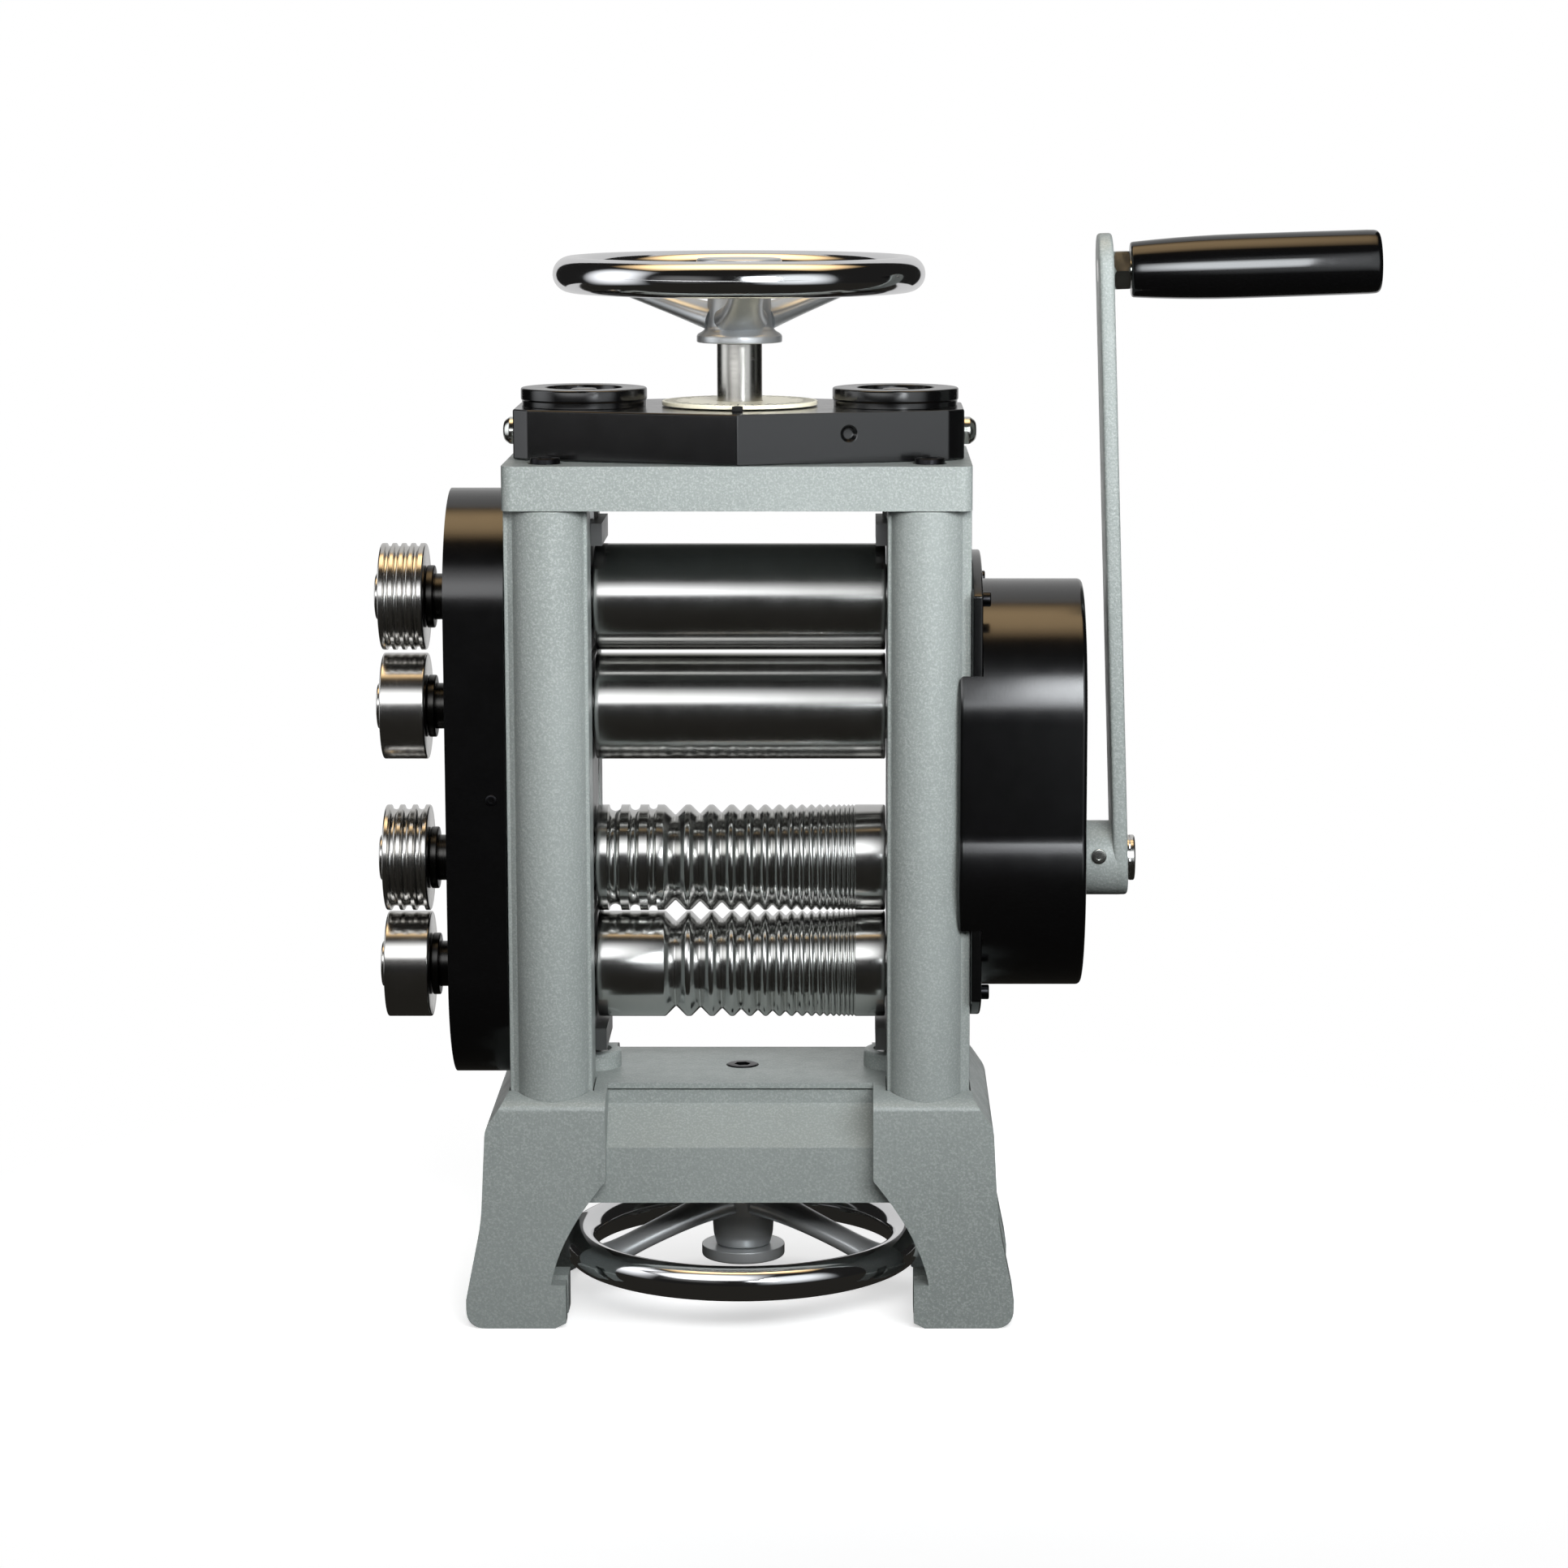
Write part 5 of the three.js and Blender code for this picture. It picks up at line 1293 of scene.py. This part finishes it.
# Small screws on the frame: one in the deck, one in the edge of the left cover
def makeSmallScrews():
    small = smallScrews
    deckScrew = socketScrew("deckScrew", small.deckHead, small.deckDepth, small.deckSocket)
    place = [((0, 0, baseSizes.deck + small.deckLift), (0, 0, small.deckTurn))]
    mount(copies("deck_screw", deckScrew, place, "oxide"), "frame", "bright_steel")
    s = coverSizes
    coverScrew = socketScrew("coverScrew", s.screw, small.coverDepth, small.coverSocket)
    place = [((s.screwAt[0], nodeBox("gear_cover")[0].y - 1, s.screwAt[1]), (90, 0, 0))]
    mount(copies("cover_screw", coverScrew, place, "oxide"), "frame", "bright_steel")


makeSmallScrews()

# Finishes for the inner pieces that are shown as they were modelled
carried = {"iron": ["base_gear_pan"], "gear": ["coupling_gear_upper", "coupling_gear_lower", "bull_gear"]}
for sideName in sides:
    carried["iron"] += [f"{part}_{sideName}" for part in ("upper_chock", "centre_block", "lower_chock")]
for end in ("top", "bottom"):
    carried["gear"] += [f"{end}_centre_gear", f"{end}_screw_left", f"{end}_screw_right"]
carried["gear"] += ["side_gear_" + rollName for rollName in rollBodies]
for finishName, nodes in carried.items():
    for node in nodes:
        repaint(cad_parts[node], finish[finishName])
print("inner pieces painted")

# Studio: pale floor, soft lights in front and at the sides, dark cards that only reflections see
studioSizes = Sizes(
    mirrored=0.62, fill=0.15, floorHalf=9000, floorLift=0.55, fadeFrom=0.28, fadeTo=0.6, dark=0.014,
    wallReach=1700, wallLow=-10, wallTop=2900, wallFrom=-150, wallStep=30, wallCount=10,
)


def makeWorld():
    s = studioSizes
    world = bpy.data.worlds.new("studio")
    scene.world = world
    world.use_nodes = True
    tree = world.node_tree
    seenBy = addNode(tree, "ShaderNodeLightPath", (-700, 0)).outputs
    mirrored = calculated(tree, (-450, -100), "MULTIPLY", seenBy["Is Glossy Ray"], s.mirrored)
    seen = calculated(tree, (-450, 100), "MAXIMUM", seenBy["Is Camera Ray"], mirrored)
    clear = calculated(tree, (-250, 100), "MAXIMUM", seen, seenBy["Is Transmission Ray"])
    strength = ramp(tree, (-50, 100), 0, 1, s.fill, 1, clear)
    feed(tree, tree.nodes["Background"], {"Strength": strength, "Color": (1, 1, 1, 1)})


def bareMaterial(name):
    material = bpy.data.materials.new(name)
    material.use_nodes = True
    material.node_tree.nodes.clear()
    return material, material.node_tree


# The floor is plain and lit near the mill, and white further off; light bounces from it only weakly
def makeFloor():
    s = studioSizes
    half = s.floorHalf
    corners = [(-half, -half, 0), (half, -half, 0), (half, half, 0), (-half, half, 0)]
    floor = meshObject("studio_floor", corners, [(0, 1, 2, 3)], "cream")
    material, tree = bareMaterial("paleFloor")
    plain = addNode(tree, "ShaderNodeBsdfDiffuse", (0, 100), {"Color": (0.8, 0.8, 0.8, 1)})
    lift = addNode(tree, "ShaderNodeEmission", (0, -100), {"Strength": s.floorLift})
    layers = {0: plain.outputs[0], 1: lift.outputs[0]}
    shadowed = addNode(tree, "ShaderNodeAddShader", (200, 0), layers)
    white = addNode(tree, "ShaderNodeEmission", (200, -200))
    coords = {0: objectCoords(tree)}
    distance = addNode(tree, "ShaderNodeVectorMath", (-300, -350), coords, operation="LENGTH")
    fade = ramp(tree, (-100, -350), s.fadeFrom, s.fadeTo, 0, 1, distance.outputs["Value"])
    layers = {0: fade, 1: shadowed.outputs[0], 2: white.outputs[0]}
    seen = addNode(tree, "ShaderNodeMixShader", (400, 0), layers)
    bounce = addNode(tree, "ShaderNodeBsdfDiffuse", (200, 150), {"Color": (0.1, 0.1, 0.097, 1)})
    path = addNode(tree, "ShaderNodeLightPath", (200, 300))
    layers = {0: path.outputs["Is Camera Ray"], 1: bounce.outputs[0], 2: seen.outputs[0]}
    final = addNode(tree, "ShaderNodeMixShader", (600, 0), layers)
    addNode(tree, "ShaderNodeOutputMaterial", (800, 0), {"Surface": final.outputs[0]})
    repaint(floor, material)
    floor.visible_glossy = False
    return floor


def softLight(name, at, target, size, power, tint=(1, 1, 1), spread=180):
    lamp = linked(name, bpy.data.lights.new(name, "AREA"))
    lamp.data.shape = "RECTANGLE"
    lamp.data.size = size[0] / 1000
    lamp.data.size_y = size[1] / 1000
    lamp.data.energy = power
    lamp.data.spread = math.radians(spread)
    lamp.data.color = tint
    lamp.location = placed(*at)
    aim = Vector(placed(*target)) - lamp.location
    lamp.rotation_euler = aim.to_track_quat("-Z", "Y").to_euler()
    lamp.visible_camera = False
    lamp.visible_glossy = False
    return lamp


# A card that only reflections see; a soft one fades out towards its edges
def reflectionCard(name, corners, colour, glow, soft=False):
    card = meshObject(name, corners, [(0, 1, 2, 3)], "ink")
    layer = card.data.uv_layers.new(name="spread")
    for loop, corner in zip(layer.data, ((0, 0), (1, 0), (1, 1), (0, 1))):
        loop.uv = corner
    material, tree = bareMaterial(name + "Face")
    strength = glow
    if soft:
        spread = addNode(tree, "ShaderNodeUVMap", (-600, 0), uv_map="spread")
        parts = addNode(tree, "ShaderNodeSeparateXYZ", (-400, 0), {0: spread.outputs["UV"]}).outputs
        fades = []
        for i, axis in enumerate("XY"):
            wave = calculated(tree, (-200, -150 * i), "MULTIPLY", parts[axis], math.pi)
            fades.append(calculated(tree, (0, -150 * i), "SINE", wave))
        total = calculated(tree, (200, 0), "MULTIPLY", *fades)
        strength = ramp(tree, (300, -200), 0, 0.8, studioSizes.dark, glow, total)
    face = addNode(tree, "ShaderNodeEmission", (400, 0), {"Color": (*colour, 1), "Strength": strength})
    addNode(tree, "ShaderNodeOutputMaterial", (600, 0), {"Surface": face.outputs[0]})
    repaint(card, material)
    card.visible_camera = False
    card.visible_diffuse = False
    card.visible_shadow = False
    card.visible_transmission = False
    return card


# Upright cards on a circle round the mill, from one bearing to another, 0 in front and plus to the right
def uprightCard(name, bearings, reach, heights, colour, glow, soft=False):
    start, end = [math.radians(bearing) for bearing in bearings]
    low, high = heights
    corners = []
    for angle, z in ((start, low), (end, low), (end, high), (start, high)):
        corners.append((reach * math.sin(angle), -reach * math.cos(angle), z))
    return reflectionCard(name, corners, colour, glow, soft)


# Cards from one x to another, their near and far edges as (y, z)
def wideCard(name, fromX, toX, near, far, colour, glow, soft=False):
    corners = [(fromX, *near), (toX, *near), (toX, *far), (fromX, *far)]
    return reflectionCard(name, corners, colour, glow, soft)


def darkWalls():
    s = studioSizes
    walls = []
    for i in range(s.wallCount):
        start = s.wallFrom + s.wallStep * i
        heights = (s.wallLow, s.wallTop)
        bearings = (start, start + s.wallStep)
        walls.append(uprightCard(f"darkWall{i}", bearings, s.wallReach, heights, (1, 0.98, 0.96), s.dark))
    return walls


makeWorld()
coolWhite = (0.93, 0.97, 1)
studio = [
    makeFloor(),
    softLight("keyBox", (280, -1200, 880), (0, 0, 560), (1000, 420), 5.9, spread=80),
    softLight("leftBox", (-1150, -450, 820), (0, 0, 500), (420, 700), 0.6, spread=90),
    softLight("rightBox", (760, -800, 800), (60, 0, 520), (420, 600), 1.75, (0.9, 0.95, 1), 90),
    softLight("backBox", (-200, 1300, 800), (0, 0, 420), (1200, 700), 6.0, spread=110),
    uprightCard("rightStrip", (9, 62), 1130, (60, 1300), coolWhite, 1.2, True),
    uprightCard("leftStrip", (-106, -54), 1050, (40, 1500), (0.95, 0.97, 1), 1.5, True),
    uprightCard("leftHaze", (-54, -8), 1110, (250, 1100), (1, 1, 1), 0.16, True),
    wideCard("drumCard", 40, 620, (-950, 400), (-950, 1000), coolWhite, 13, True),
    wideCard("lowCard", -2500, 2500, (-2500, -3), (700, -3), (1, 0.94, 0.82), 0.02),
    wideCard("ceiling", -1700, 1700, (-1700, 2600), (250, 2600), (1, 0.95, 0.9), studioSizes.dark),
    wideCard("warmPanel", -800, 800, (-420, 1400), (420, 1400), (1, 0.7, 0.38), 3.0, True),
    wideCard("bandPanel", -720, 170, (-830, 490), (-214, 560), (0.97, 0.98, 1), 2.6, True),
    *darkWalls(),
]
print("studio made")
